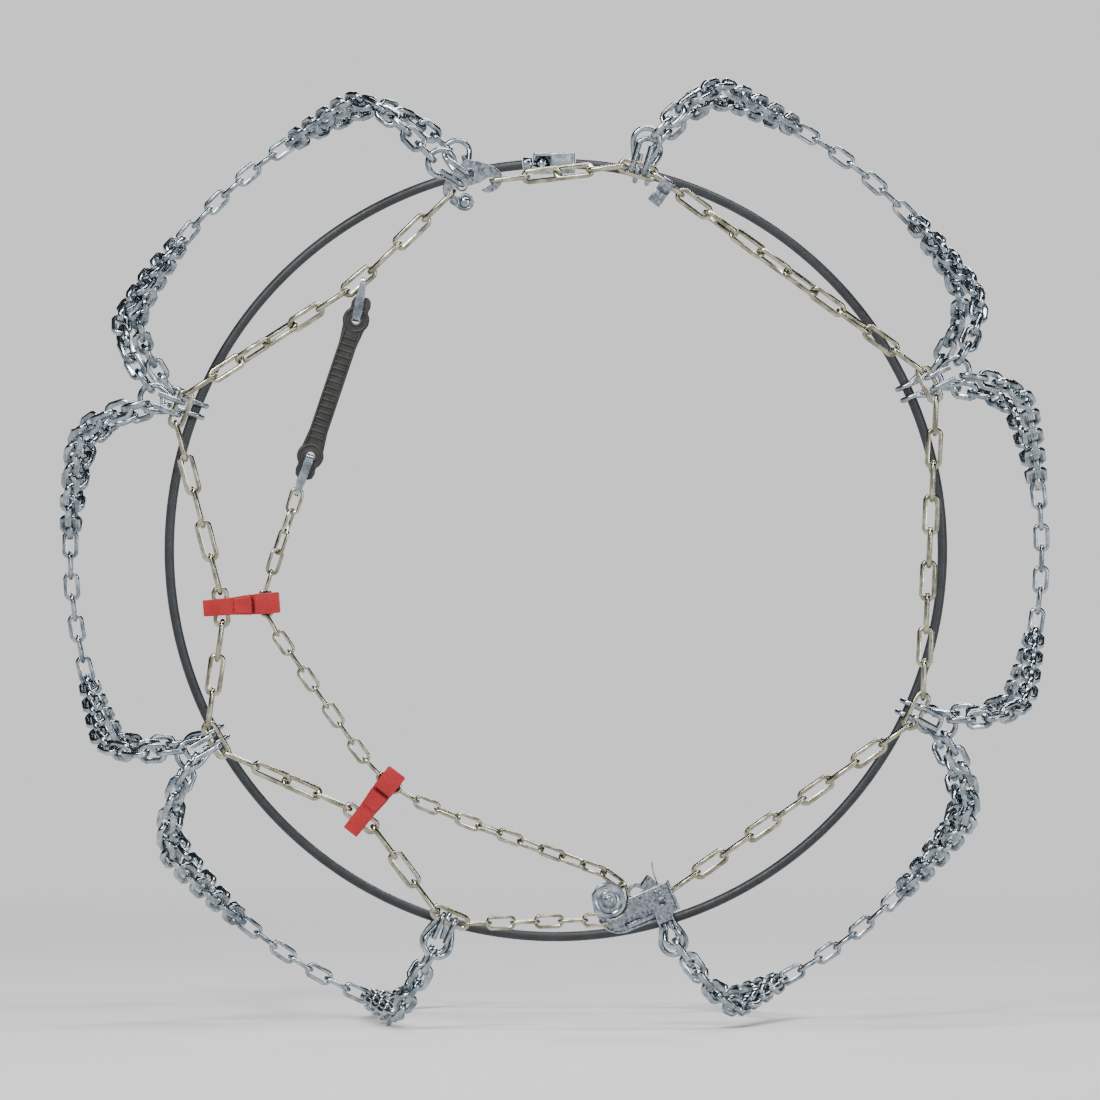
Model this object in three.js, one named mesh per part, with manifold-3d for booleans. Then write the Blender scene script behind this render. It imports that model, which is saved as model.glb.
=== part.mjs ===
// Snow chain for one passenger-car wheel, shown as it sits on a mounted tyre (the tyre and wheel are left out).
// Millimetres, +Z up. The wheel's axle is the Y axis, the outer face looks along -Y, and the origin is the
// wheel's centre. Eight stations carry the net: at each one a wire shackle joins the side chain, or a fitting
// in its place, to the heavy tread chain. Station 1 is the closing hook and station 5 the ratchet.
import * as THREE from "three";
import { mergeVertices } from "three/addons/utils/BufferGeometryUtils.js";
import Module from "manifold-3d";

const wasm = await Module();
wasm.setup();

// ---------- driving dimensions ----------

// Centreline of the chain over the tyre's section: flat tread, round shoulder, upright side.
const TREAD_RADIUS = 357.5;
const TREAD_HALF_WIDTH = 92;
const SHOULDER_RADIUS = 45;
const SIDE_PLANE = TREAD_HALF_WIDTH + SHOULDER_RADIUS;
const SHOULDER_LENGTH = (SHOULDER_RADIUS * Math.PI) / 2;

// Chains: pitch is a link's inner length, width its outer width, wire its thickness.
const TREAD_CHAIN = { pitch: 13.4, width: 15, wire: 4.4 };
const SIDE_CHAIN = { pitch: 23.6, width: 12.3, wire: 3.6 };
const CENTRE_CHAIN = { pitch: 15.6, width: 12, wire: 3.3 };
const TENSION_CHAIN = { pitch: 16, width: 10.5, wire: 2.6 };
const FREE_GAP = 0.3; // play left between two separate pieces
const LINK_LAP = 0.25; // how far the links of one run press into each other

// Stations in the side plane, x to the right and z up, and the chain's other bends.
const CLOSING_HOOK = { x: -62, z: 268 };
const RATCHET = { x: 38.1, z: -251.8, tilt: 22.8 };
const STATION_2 = { x: 59, z: 273.4 };
const STATION_3 = { x: 268.3, z: 119.4 };
const STATION_4 = { x: 259, z: -115.8 };
const STATION_6 = { x: -76.3, z: -264 };
const STATION_7 = { x: -244.6, z: -136.7 };
const STATION_8 = { x: -269.8, z: 101.4 };
const STRAP_LINK = { x: -142, z: 193.5 };
const UPPER_CLIP_LINK = { x: -241, z: -41 };
const LOWER_CLIP_LINK = { x: -140.3, z: -192.8 };

// Tread net: each field lies between two stations, low and high by their angle around the wheel from +X. Two
// cross chains, one from each station, cross the tread half a field's angle either side of its middle.
const FIELD_HALF_ANGLE = 9.2;
const FIELDS = [
  { low: 3, high: 2, middle: 51.5 },
  { low: 4, high: 3, middle: -1 },
  { low: 5, high: 4, middle: -53.5 },
  { low: 7, high: 6, middle: 238.3 },
  { low: 8, high: 7, middle: 186.8 },
  { low: 1, high: 8, middle: 131.8 },
];
const STATION_ANGLES = { 1: 104, 2: 77, 3: 24.2, 4: -24.4, 5: -73.3, 6: 252.8, 7: 208.7, 8: 158.6 };

// How far a station's tread chain is pulled aside from straight outwards, in degrees.
const PULLS = { 1: 47, 2: 41, 3: 52, 4: 52, 5: 19, 6: 8, 7: 52, 8: 52 };

// Wire shackles: a round loop and two legs that wrap a bar and come back over its front.
const SHACKLE_WIRE = 4.2;
const SHACKLE = { loopCentre: 17, loopRadius: 9.5, legSpread: 4.6, tip: 14.5, heel: 0 };
const HOOK_SHACKLE = { ...SHACKLE, heel: 7 };
const RATCHET_SHACKLE = { loopCentre: 11.2, loopRadius: 5.9, legSpread: 2.4, tip: 3.5, heel: 0 };
const HOOK_PLAY = 3.1; // from a loop's centreline to the inside of the chain link hooked in it

// Inner side.
const HOOP_RADIUS = 291;
const HOOP_CABLE = 8;
const HOOP_JOINT_ANGLE = 91;
const HOOP_JOINT_HALF = 20;

// Closing hook and ratchet, across the side plane: their plates' thickness and how far out these lie.
const HOOK_PLATE = { low: -1.6, high: 0.6 };
const KEEPER = { low: 0.9, high: 2.2 };
const RATCHET_PLATE = { inner: 6.6, outer: 8 };
const PULLEY = { rim: 12.5, core: 6, bore: 2.4, halfWidth: 6.2, groove: 5.2 };
const CHAIN_ON_PULLEY = 14;
const PAWL_PIVOT = { along: 33.7, across: -8.7 };
const PAWL_CHEEK = { low: 5.3, high: 6.2 };

// Chain clips and strap.
const CLIP = {
  start: -12.7, ridge: 8.6, slit: 22.4, block: 24.4, end: 42.3,
  endHalf: 5.9, ridgeHalf: 6.3, width: 15, halfDepth: 6.9, toTensionChain: 32.5,
};
const STRAP = { length: 103.3, endRadius: 9.7, waist: 6.5, thickness: 4.4, eyelet: 3.1 };
const STRAP_TOP = { x: -143.9, z: 165.5 };
const STRAP_FOOT = { x: -176.8, z: 67.6 };
const RIVET = { x: -3.5, z: -17.8, shank: 2.4, head: 5.4 };
const STRAP_HOOK = { sheet: 1.5, width: 3.6 };

// ---------- materials ----------

const zincPlated = metal(0xb9c0c2, 0.35);
const yellowZinc = metal(0xc2c0ad, 0.35);
const plateSteel = metal(0xa9a89a, 0.4);
const redNylon = plastic(0xc5252b, 0.45);
const blackRubber = plastic(0x2f3130, 0.75);
const cableSheath = plastic(0x3a3d40, 0.55);

function metal(color, roughness) {
  return new THREE.MeshStandardMaterial({ color, roughness, metalness: 0.9 });
}

function plastic(color, roughness) {
  return new THREE.MeshStandardMaterial({ color, roughness, metalness: 0 });
}

// ---------- solids ----------

function solid(geometry) {
  const bare = geometry.clone();
  bare.deleteAttribute("normal");
  bare.deleteAttribute("uv");
  const merged = mergeVertices(bare, 1e-4);
  return new wasm.Manifold(
    new wasm.Mesh({
      numProp: 3,
      vertProperties: merged.attributes.position.array,
      triVerts: new Uint32Array(merged.index.array),
    }),
  );
}

function geometryOf(manifold) {
  const mesh = manifold.getMesh();
  const geometry = new THREE.BufferGeometry();
  geometry.setAttribute("position", new THREE.BufferAttribute(mesh.vertProperties, 3));
  geometry.setIndex(new THREE.BufferAttribute(mesh.triVerts, 1));
  return geometry;
}

function joined(geometries) {
  return geometries.map(solid).reduce((whole, next) => whole.add(next));
}

function cut(body, cutters) {
  return cutters.map(solid).reduce((rest, cutter) => rest.subtract(cutter), body);
}

const chain = new THREE.Group();

// Adds one named piece. Its shape is a geometry or a manifold solid, placed by an optional matrix.
function piece(name, shape, material, place = new THREE.Matrix4()) {
  const geometry = shape.isBufferGeometry ? shape : geometryOf(shape);
  const mesh = new THREE.Mesh(geometry, material);
  mesh.name = name;
  mesh.applyMatrix4(place);
  chain.add(mesh);
}

// A frame in the side plane: its X lies at an angle from the plane's own X, and its Z looks outwards, along -Y.
function sideFrame({ x, z }, degrees = 0) {
  const angle = THREE.MathUtils.degToRad(degrees);
  const along = new THREE.Vector3(Math.cos(angle), 0, Math.sin(angle));
  const across = new THREE.Vector3(-Math.sin(angle), 0, Math.cos(angle));
  const outwards = new THREE.Vector3(0, -1, 0);
  return new THREE.Matrix4().makeBasis(along, across, outwards).setPosition(x, -SIDE_PLANE, z);
}

function slab(shape, low, high, curveSegments = 4) {
  const settings = { depth: high - low, bevelEnabled: false, curveSegments };
  return new THREE.ExtrudeGeometry(shape, settings).translate(0, 0, low);
}

function polygon(points) {
  return new THREE.Shape(points.map(([x, y]) => new THREE.Vector2(x, y)));
}

function circle(x, y, radius) {
  return new THREE.Shape().absarc(x, y, radius, 0, Math.PI * 2);
}

// A shape as thick as a bent sheet, around the line through the given points.
function bentSheet(points, thickness) {
  const line = points.map(([x, y]) => new THREE.Vector2(x, y));
  const sides = [[], []];
  line.forEach((point, i) => {
    const before = line[Math.max(i - 1, 0)];
    const after = line[Math.min(i + 1, line.length - 1)];
    const inward = point.clone().sub(before).normalize();
    const outward = after.clone().sub(point).normalize();
    const along = inward.clone().add(outward).normalize();
    const slant = Math.max(along.dot(i ? inward : outward), 0.5);
    const reach = new THREE.Vector2(-along.y, along.x).multiplyScalar(thickness / 2 / slant);
    sides[0].push(point.clone().add(reach));
    sides[1].unshift(point.clone().sub(reach));
  });
  return new THREE.Shape([...sides[0], ...sides[1]]);
}

// A path that an extrusion follows point by point, so that a tight bend keeps its own points.
class WirePath extends THREE.Curve {
  constructor(points) {
    super();
    this.points = points;
  }
  getPoint(t, target = new THREE.Vector3()) {
    const place = t * (this.points.length - 1);
    const i = Math.min(Math.floor(place), this.points.length - 2);
    return target.lerpVectors(this.points[i], this.points[i + 1], place - i);
  }
  getPointAt(u, target) {
    return this.getPoint(u, target);
  }
  getTangentAt(u, target = new THREE.Vector3()) {
    const i = Math.round(u * (this.points.length - 1));
    const before = this.points[Math.max(i - 1, 0)];
    const here = this.points[i];
    const after = this.points[Math.min(i + 1, this.points.length - 1)];
    const inward = here.clone().sub(before).normalize();
    const outward = after.clone().sub(here).normalize();
    return target.copy(inward.add(outward).normalize());
  }
}

function wire(points, thickness, sides) {
  const section = new THREE.Shape(
    Array.from({ length: sides }, (_, i) => {
      const angle = ((i + 0.5) * 2 * Math.PI) / sides;
      return new THREE.Vector2(Math.cos(angle), Math.sin(angle)).multiplyScalar(thickness / 2);
    }),
  );
  const settings = { steps: points.length - 1, extrudePath: new WirePath(points), bevelEnabled: false };
  return new THREE.ExtrudeGeometry(section, settings);
}

// ---------- chain links ----------

// One link between two points: a four-cornered ring, turned from a wedge section and pulled to its length. The
// wedge's edge faces inwards, as the round inside of a link does. The ring lies along the line between the two
// points and the direction "across".
function link(start, end, across, { width, wire: thickness }) {
  const half = width / 2 / Math.SQRT1_2;
  const deep = thickness / Math.SQRT1_2;
  const section = [
    new THREE.Vector2(half - deep, 0),
    new THREE.Vector2(half, -thickness / 2),
    new THREE.Vector2(half, thickness / 2),
    new THREE.Vector2(half - deep, 0),
  ];
  const ring = new THREE.LatheGeometry(section, 4, Math.PI / 4);
  const stretch = start.distanceTo(end) / 2 - (width / 2 - thickness);
  const position = ring.attributes.position;
  for (let i = 0; i < position.count; i++) {
    position.setX(i, position.getX(i) + Math.sign(position.getX(i)) * stretch);
  }
  const along = end.clone().sub(start).normalize();
  const axis = across.clone().cross(along).normalize();
  const wide = along.clone().cross(axis);
  const centre = start.clone().lerp(end, 0.5);
  return ring.applyMatrix4(new THREE.Matrix4().makeBasis(along, axis, wide).setPosition(centre));
}

// The links between successive joints. Each joint carries the surface's normal and each link its roll from it:
// 0 stands the link on edge and 90 lays it flat. Ends are free of what they hook, the rest press together.
function run(joints, normals, rolls, size, freeStart = true, freeEnd = true) {
  return rolls.map((roll, i) => {
    const along = joints[i + 1].clone().sub(joints[i]).normalize();
    const normal = normals[i].clone().add(normals[i + 1]);
    const across = normal.addScaledVector(along, -normal.dot(along)).normalize();
    across.applyAxisAngle(along, THREE.MathUtils.degToRad(roll));
    const startPlay = i === 0 && freeStart ? FREE_GAP : -LINK_LAP;
    const endPlay = i === rolls.length - 1 && freeEnd ? FREE_GAP : -LINK_LAP;
    const start = joints[i].clone().addScaledVector(along, -startPlay);
    const end = joints[i + 1].clone().addScaledVector(along, endPlay);
    return link(start, end, across, size);
  });
}

// Rolls from one end's roll to the other's, by steps as near to a quarter turn as the number of links allows.
function quarterTurns(count, first, last) {
  const steps = count - 1;
  const halfTurns = Math.round((90 * steps - (last - first)) / 180);
  const step = (180 * halfTurns + last - first) / steps;
  return Array.from({ length: count }, (_, i) => first + i * step);
}

// Points at equal distances along a line of many short pieces.
function spaced(line, count) {
  const path = new THREE.CurvePath();
  for (let i = 1; i < line.length; i++) path.add(new THREE.LineCurve3(line[i - 1], line[i]));
  return Array.from({ length: count + 1 }, (_, i) => path.getPointAt(i / count));
}

function lengthOf(line) {
  return line.slice(1).reduce((sum, point, i) => sum + point.distanceTo(line[i]), 0);
}

const OUTWARDS = new THREE.Vector3(0, -1, 0);

function inSidePlane({ x, z }) {
  return new THREE.Vector3(x, -SIDE_PLANE, z);
}

// ---------- stations ----------

// A side chain passes through anchor links, which lie flat and centred on its bends. Gives each anchor its
// direction and its two ends.
function anchored(start, anchors, end) {
  const line = [start, ...anchors, end].map(inSidePlane);
  return anchors.map((anchor, i) => {
    const before = line[i + 1].clone().sub(line[i]).normalize();
    const after = line[i + 2].clone().sub(line[i + 1]).normalize();
    const along = before.add(after).normalize();
    const half = SIDE_CHAIN.pitch / 2;
    const entry = line[i + 1].clone().addScaledVector(along, -half);
    const exit = line[i + 1].clone().addScaledVector(along, half);
    const hold = line[i + 1].clone().addScaledVector(along, half - SIDE_CHAIN.wire / 2);
    return { ...anchor, along, entry, exit, hold };
  });
}

// A point given along and across the ratchet from its pulley's centre.
function inRatchet(along, across) {
  const angle = THREE.MathUtils.degToRad(RATCHET.tilt);
  const x = RATCHET.x + along * Math.cos(angle) - across * Math.sin(angle);
  const z = RATCHET.z + along * Math.sin(angle) + across * Math.cos(angle);
  return { x, z };
}

const hookNeck = { x: CLOSING_HOOK.x - 12.6, z: CLOSING_HOOK.z - 11.1 };
const hookSeat = { x: CLOSING_HOOK.x + 17, z: CLOSING_HOOK.z - 2.2 };
const ratchetEntry = { x: RATCHET.x, z: RATCHET.z - CHAIN_ON_PULLEY };
const ratchetFlange = inRatchet(43, -11.4);

const [strapLink, station8, upperClipLink, station7, lowerClipLink, station6] = anchored(
  hookNeck,
  [STRAP_LINK, STATION_8, UPPER_CLIP_LINK, STATION_7, LOWER_CLIP_LINK, STATION_6],
  ratchetEntry,
);
const [station4, station3, station2] = anchored(ratchetFlange, [STATION_4, STATION_3, STATION_2], hookSeat);

function degreesOf(x, z) {
  return THREE.MathUtils.radToDeg(Math.atan2(z, x));
}

// Where a shackle wraps an anchor link's outer bar, and the direction of its loop.
function seatOn({ x, z, along }) {
  const outwards = new THREE.Vector3(-along.z, 0, along.x);
  if (outwards.x * x + outwards.z * z < 0) outwards.negate();
  const offset = (SIDE_CHAIN.width - SIDE_CHAIN.wire) / 2;
  const degrees = degreesOf(outwards.x, outwards.z);
  return { x: x + outwards.x * offset, z: z + outwards.z * offset, degrees, form: SHACKLE, bar: SIDE_CHAIN.wire };
}

const OUTER_SEATS = {
  1: { x: CLOSING_HOOK.x - 6.6, z: CLOSING_HOOK.z + 0.8, degrees: 146, form: HOOK_SHACKLE, bar: 4 },
  2: seatOn(station2),
  3: seatOn(station3),
  4: seatOn(station4),
  5: { ...inRatchet(32, -32.1), degrees: RATCHET.tilt - 90, form: RATCHET_SHACKLE, bar: 2.5 },
  6: seatOn(station6),
  7: seatOn(station7),
  8: seatOn(station8),
};

function innerSeat(station) {
  const degrees = STATION_ANGLES[station];
  const angle = THREE.MathUtils.degToRad(degrees);
  const x = HOOP_RADIUS * Math.cos(angle);
  const z = HOOP_RADIUS * Math.sin(angle);
  return { x, z, degrees, form: SHACKLE, bar: HOOP_CABLE + 0.8 };
}

// ---------- shackles ----------

// The centreline of a shackle in its own frame: X across, Y towards the loop, Z outwards, and the bar that it
// wraps at the origin.
function shackleLine({ form, bar }) {
  const { loopCentre, loopRadius, legSpread, tip, heel } = form;
  const off = bar / 2 + 0.4 + SHACKLE_WIRE / 2;
  const half = [
    [legSpread, tip, off],
    [legSpread, 0, off],
    [legSpread, -off, off * 0.42],
    [legSpread, -off, -off * 0.42],
    [legSpread, 0, -off],
  ];
  if (heel) half.push([legSpread, heel, -off]);
  for (const turn of [-18, 18, 54]) {
    const angle = THREE.MathUtils.degToRad(turn);
    half.push([loopRadius * Math.cos(angle), loopCentre + loopRadius * Math.sin(angle), turn < 0 ? -1.2 : 0]);
  }
  const other = half.map(([x, y, z]) => [-x, y, z]).reverse();
  return [...half, [0, loopCentre + loopRadius, 0], ...other].map((point) => new THREE.Vector3(...point));
}

function outerShackle(station) {
  const seat = OUTER_SEATS[station];
  const shape = wire(shackleLine(seat), SHACKLE_WIRE, 5);
  piece(`outer_shackle_${station}`, shape, zincPlated, sideFrame(seat, seat.degrees - 90));
}

function innerShackle(station) {
  const seat = innerSeat(station);
  const shape = wire(shackleLine(seat), SHACKLE_WIRE, 4);
  const flip = new THREE.Matrix4().makeRotationY(Math.PI);
  const place = sideFrame(seat, seat.degrees - 90).multiply(flip);
  piece(`inner_shackle_${station}`, shape, zincPlated, place.premultiply(throughToInner()));
}

// Moves a thing from the outer side plane to the inner one.
function throughToInner() {
  return new THREE.Matrix4().makeTranslation(0, 2 * SIDE_PLANE, 0);
}

// ---------- tread net ----------

// A point of the chain's surface: angle around the wheel, and distance over the tyre's section from the middle
// of the tread, positive towards the outer side.
function onTyre(degrees, over) {
  const angle = THREE.MathUtils.degToRad(degrees);
  const past = Math.abs(over) - TREAD_HALF_WIDTH;
  const turn = THREE.MathUtils.clamp(past / SHOULDER_RADIUS, 0, Math.PI / 2);
  const down = Math.max(past - SHOULDER_LENGTH, 0);
  const radius = TREAD_RADIUS - SHOULDER_RADIUS * (1 - Math.cos(turn)) - down;
  const width = Math.min(Math.abs(over), TREAD_HALF_WIDTH) + SHOULDER_RADIUS * Math.sin(turn);
  const radial = new THREE.Vector3(Math.cos(angle), 0, Math.sin(angle));
  const point = radial.clone().multiplyScalar(radius);
  point.y = -Math.sign(over) * width;
  const normal = radial.multiplyScalar(Math.cos(turn));
  normal.y = -Math.sign(over) * Math.sin(turn);
  return { point, normal };
}

// The distance over the section at which the side has a given radius.
function overAtRadius(radius) {
  const below = TREAD_RADIUS - SHOULDER_RADIUS - radius;
  if (below > 0) return TREAD_HALF_WIDTH + SHOULDER_LENGTH + below;
  const turn = Math.acos(1 - (TREAD_RADIUS - radius) / SHOULDER_RADIUS);
  return TREAD_HALF_WIDTH + turn * SHOULDER_RADIUS;
}

// A line that is straight on the tyre's unrolled surface.
class LineOnTyre extends THREE.Curve {
  constructor(start, end) {
    super();
    this.start = start;
    this.end = end;
  }
  surface(t) {
    const degrees = THREE.MathUtils.lerp(this.start.degrees, this.end.degrees, t);
    return onTyre(degrees, THREE.MathUtils.lerp(this.start.over, this.end.over, t));
  }
  getPoint(t) {
    return this.surface(t).point;
  }
}

// Joints, normals and rolls of a chain along such a line. Both its end links stand on edge.
function chainOnTyre(start, end, size) {
  const line = new LineOnTyre(start, end);
  const count = Math.round(line.getLength() / size.pitch);
  const joints = line.getSpacedPoints(count);
  const normals = joints.map((_, i) => line.surface(line.getUtoTmapping(i / count)).normal);
  return { joints, normals, rolls: quarterTurns(count, 0, 0) };
}

// The place where a tread chain hooks in a shackle's loop, pulled aside by a signed angle.
function hookedIn(seat, pull) {
  const loop = THREE.MathUtils.degToRad(seat.degrees);
  const x = seat.x + Math.cos(loop) * seat.form.loopCentre;
  const z = seat.z + Math.sin(loop) * seat.form.loopCentre;
  const away = Math.atan2(z, x) + THREE.MathUtils.degToRad(pull);
  const reach = seat.form.loopRadius - HOOK_PLAY;
  const hookX = x + Math.cos(away) * reach;
  const hookZ = z + Math.sin(away) * reach;
  return { degrees: degreesOf(hookX, hookZ), over: overAtRadius(Math.hypot(hookX, hookZ)) };
}

function nearTurn(degrees, wanted) {
  return degrees + 360 * Math.round((wanted - degrees) / 360);
}

// One cross chain, from the outer shackle over the tread to the inner one. At the crossing a flat link spans the
// tread's middle, where the centre chain hooks in.
function crossChain(station, side, middle) {
  const crossing = middle - side * FIELD_HALF_ANGLE;
  const half = TREAD_CHAIN.pitch / 2;
  const outerHook = hookedIn(OUTER_SEATS[station], side * PULLS[station]);
  const innerHook = hookedIn(innerSeat(station), side * PULLS[station]);
  outerHook.degrees = nearTurn(outerHook.degrees, crossing);
  innerHook.degrees = nearTurn(innerHook.degrees, crossing);
  innerHook.over *= -1;
  const outer = chainOnTyre(outerHook, { degrees: crossing, over: half }, TREAD_CHAIN);
  const inner = chainOnTyre({ degrees: crossing, over: -half }, innerHook, TREAD_CHAIN);
  const joints = [...outer.joints, ...inner.joints];
  const normals = [...outer.normals, ...inner.normals];
  return run(joints, normals, [...outer.rolls, 90, ...inner.rolls], TREAD_CHAIN);
}

function centreChain(middle) {
  const inLink = TREAD_CHAIN.width / 2 - TREAD_CHAIN.wire;
  const reach = FIELD_HALF_ANGLE - THREE.MathUtils.radToDeg(inLink / TREAD_RADIUS);
  const start = { degrees: middle - reach, over: 0 };
  const end = { degrees: middle + reach, over: 0 };
  const { joints, normals, rolls } = chainOnTyre(start, end, CENTRE_CHAIN);
  return run(joints, normals, rolls, CENTRE_CHAIN, false, true);
}

function treadNet() {
  for (const { low, high, middle } of FIELDS) {
    const lowChain = [...crossChain(low, 1, middle), ...centreChain(middle)];
    piece(`cross_chain_${low}_to_${high}`, joined(lowChain), zincPlated);
    piece(`cross_chain_${high}_to_${low}`, joined(crossChain(high, -1, middle)), zincPlated);
  }
}

// ---------- side chain ----------

// The links of one side-chain node: stretches of plain links, most of them followed by an anchor link.
function sideRun(name, stretches) {
  const joints = [stretches[0].from];
  const rolls = [];
  for (const { from, to, anchor } of stretches) {
    const count = Math.round(from.distanceTo(to) / SIDE_CHAIN.pitch);
    joints.push(...spaced([from, to], count).slice(1));
    rolls.push(...quarterTurns(count, 0, 0));
    if (anchor) {
      joints.push(anchor.exit);
      rolls.push(90);
    }
  }
  const normals = joints.map(() => OUTWARDS);
  piece(name, joined(run(joints, normals, rolls, SIDE_CHAIN)), yellowZinc);
  return joints;
}

function stretch(from, anchor) {
  return { from, to: anchor.entry, anchor };
}

// The start of a chain whose first link's end bar lies inside an anchor link.
function leaving(anchor, to) {
  return anchor.hold.clone().addScaledVector(to.clone().sub(anchor.hold).normalize(), SIDE_CHAIN.wire / 2);
}

function sideChains() {
  const neck = inSidePlane(hookNeck);
  const flange = inSidePlane(ratchetFlange);
  sideRun("side_chain_1_8", [stretch(neck, strapLink), stretch(strapLink.exit, station8)]);
  sideRun("side_chain_8_7", [
    stretch(leaving(station8, upperClipLink.entry), upperClipLink),
    stretch(upperClipLink.exit, station7),
  ]);
  sideRun("side_chain_7_6", [
    stretch(leaving(station7, lowerClipLink.entry), lowerClipLink),
    stretch(lowerClipLink.exit, station6),
  ]);
  sideRun("side_chain_5_4", [stretch(flange, station4)]);
  sideRun("side_chain_4_3", [stretch(leaving(station4, station3.entry), station3)]);
  const [, ...joints] = sideRun("side_chain_3_2", [stretch(leaving(station3, station2.entry), station2)]);
  const seat = inSidePlane(hookSeat);
  sideRun("side_chain_2_1", [{ from: leaving(station2, seat), to: seat }]);
  return joints;
}

// ---------- tension chain ----------

// The middle and the direction of the tension chain's link in a clip.
function clipLink(anchor) {
  const across = new THREE.Vector3(-anchor.along.z, 0, anchor.along.x);
  if (across.x * anchor.x + across.z * anchor.z > 0) across.negate();
  const centre = inSidePlane(anchor).addScaledVector(across, CLIP.toTensionChain);
  const half = anchor.along.clone().multiplyScalar(TENSION_CHAIN.pitch / 2);
  return { across, entry: centre.clone().add(half), exit: centre.clone().sub(half) };
}

function onPulley(degrees) {
  const angle = THREE.MathUtils.degToRad(degrees);
  const x = RATCHET.x + Math.cos(angle) * CHAIN_ON_PULLEY;
  const z = RATCHET.z + Math.sin(angle) * CHAIN_ON_PULLEY;
  return inSidePlane({ x, z });
}

function tensionRun(name, joints, rolls) {
  const normals = joints.map(() => OUTWARDS);
  piece(name, joined(run(joints, normals, rolls, TENSION_CHAIN)), yellowZinc);
}

function between(points) {
  const count = Math.round(lengthOf(points) / TENSION_CHAIN.pitch);
  return spaced(points, count);
}

// From station 6 it enters the ratchet, goes round the pulley and comes back by the two clips to the strap.
function tensionChain() {
  const lower = clipLink(lowerClipLink);
  const upper = clipLink(upperClipLink);
  const toPulley = between([station6.exit, onPulley(-90)]);
  const wayBack = [[36, -232.4], [3, -220.1], [-63.3, -195.7], [-105, -178.4]];
  const back = between([onPulley(50), ...wayBack.map(([x, z]) => inSidePlane({ x, z })), lower.entry]);
  const straightRolls = quarterTurns(toPulley.length - 1, 0, 90);
  const last = straightRolls.at(-1);
  const pulleyRolls = [last + 55, last + 135];
  const backRolls = quarterTurns(back.length, last + 225, last + 180);
  const first = [...toPulley, onPulley(-20), ...back, lower.exit];
  tensionRun("tension_chain_6_to_lower_clip", first, [...straightRolls, ...pulleyRolls, ...backRolls]);

  const upWay = [[-140.3, -147.5], [-156.8, -123.7], [-176.3, -95.7], [-202, -58]];
  const up = between([lower.exit, ...upWay.map(([x, z]) => inSidePlane({ x, z })), upper.entry]);
  tensionRun("tension_chain_between_clips", [...up, upper.exit], quarterTurns(up.length, 0, 90));

  const strapWay = [[-203.5, -12], [-198.6, 3.6], [-189, 31]];
  const end = inSidePlane(strapFootBar());
  const toStrap = between([upper.exit, ...strapWay.map(([x, z]) => inSidePlane({ x, z })), end]);
  tensionRun("tension_chain_to_strap", toStrap, quarterTurns(toStrap.length - 1, 0, 90));
}

// ---------- chain clips ----------

// A moulded clip in its own frame: X from the side chain's link, at the origin, towards the tension chain's.
function clip(name, anchor) {
  const { across } = clipLink(anchor);
  const { start, ridge, slit, endHalf, ridgeHalf, width } = CLIP;
  const shell = polygon([
    [start, -endHalf], [ridge, -ridgeHalf], [slit, -width / 2],
    [slit, width / 2], [ridge, ridgeHalf], [start, endHalf],
  ]);
  const sideBody = slab(shell, -5, 5);
  const block = box(CLIP.block, CLIP.end, CLIP.width, -CLIP.halfDepth, CLIP.halfDepth);
  const web = box(CLIP.slit - 1, CLIP.block + 1, CLIP.width * 0.7, -4, -1);
  const room = 0.45;
  const sideHalf = SIDE_CHAIN.width / 2 + room;
  const sideChannel = box(-sideHalf, sideHalf, 30, -SIDE_CHAIN.wire / 2 - room, SIDE_CHAIN.wire / 2 + room);
  const wide = TENSION_CHAIN.width / 2 + room;
  const thin = TENSION_CHAIN.wire / 2 + room;
  const flatChannel = box(CLIP.toTensionChain - wide, CLIP.toTensionChain + wide, 30, -thin, thin);
  const edge = thin + 1.4;
  const edgeChannel = box(CLIP.toTensionChain - edge, CLIP.toTensionChain + edge, 30, -wide, wide);
  const body = cut(joined([sideBody, block, web]), [sideChannel, flatChannel, edgeChannel]);
  piece(name, body, redNylon, sideFrame(anchor, degreesOf(across.x, across.z)));
}

function box(left, right, width, low, high) {
  const shape = new THREE.BoxGeometry(right - left, width, high - low);
  return shape.translate((left + right) / 2, 0, (low + high) / 2);
}

// ---------- rubber strap ----------

// The bar that the strap's upper hook wraps: the inner bar of the strap's link in the side chain.
function strapTopBar() {
  const inwards = new THREE.Vector3(-strapLink.along.z, 0, strapLink.along.x);
  if (inwards.x * strapLink.x + inwards.z * strapLink.z > 0) inwards.negate();
  const offset = (SIDE_CHAIN.width - SIDE_CHAIN.wire) / 2;
  return { x: strapLink.x + inwards.x * offset, z: strapLink.z + inwards.z * offset };
}

function strapFootBar() {
  return { x: -185.8, z: 42.6 };
}

// A hook of flat strip: its crest goes round a bar at the origin, its foot through the strap's eyelet.
function stripHook(name, bar, eyelet, crest) {
  const reach = Math.hypot(eyelet.x - bar.x, eyelet.z - bar.z);
  const line = [
    [3.4, -3.4],
    [2.5 - crest, -3.4],
    [-crest, -1.5],
    [-crest, 1.5],
    [2.5 - crest, 3.4],
    [reach - 5, 3.5],
    [reach - 1.2, 3.2],
    [reach + 0.5, 1.3],
    [reach + 0.5, -1.3],
    [reach - 1.2, -3.4],
    [reach - 7, -3.8],
  ];
  const shape = slab(bentSheet(line, STRAP_HOOK.sheet), -STRAP_HOOK.width / 2, STRAP_HOOK.width / 2);
  shape.rotateX(Math.PI / 2);
  piece(name, shape, zincPlated, sideFrame(bar, degreesOf(eyelet.x - bar.x, eyelet.z - bar.z)));
}

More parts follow.
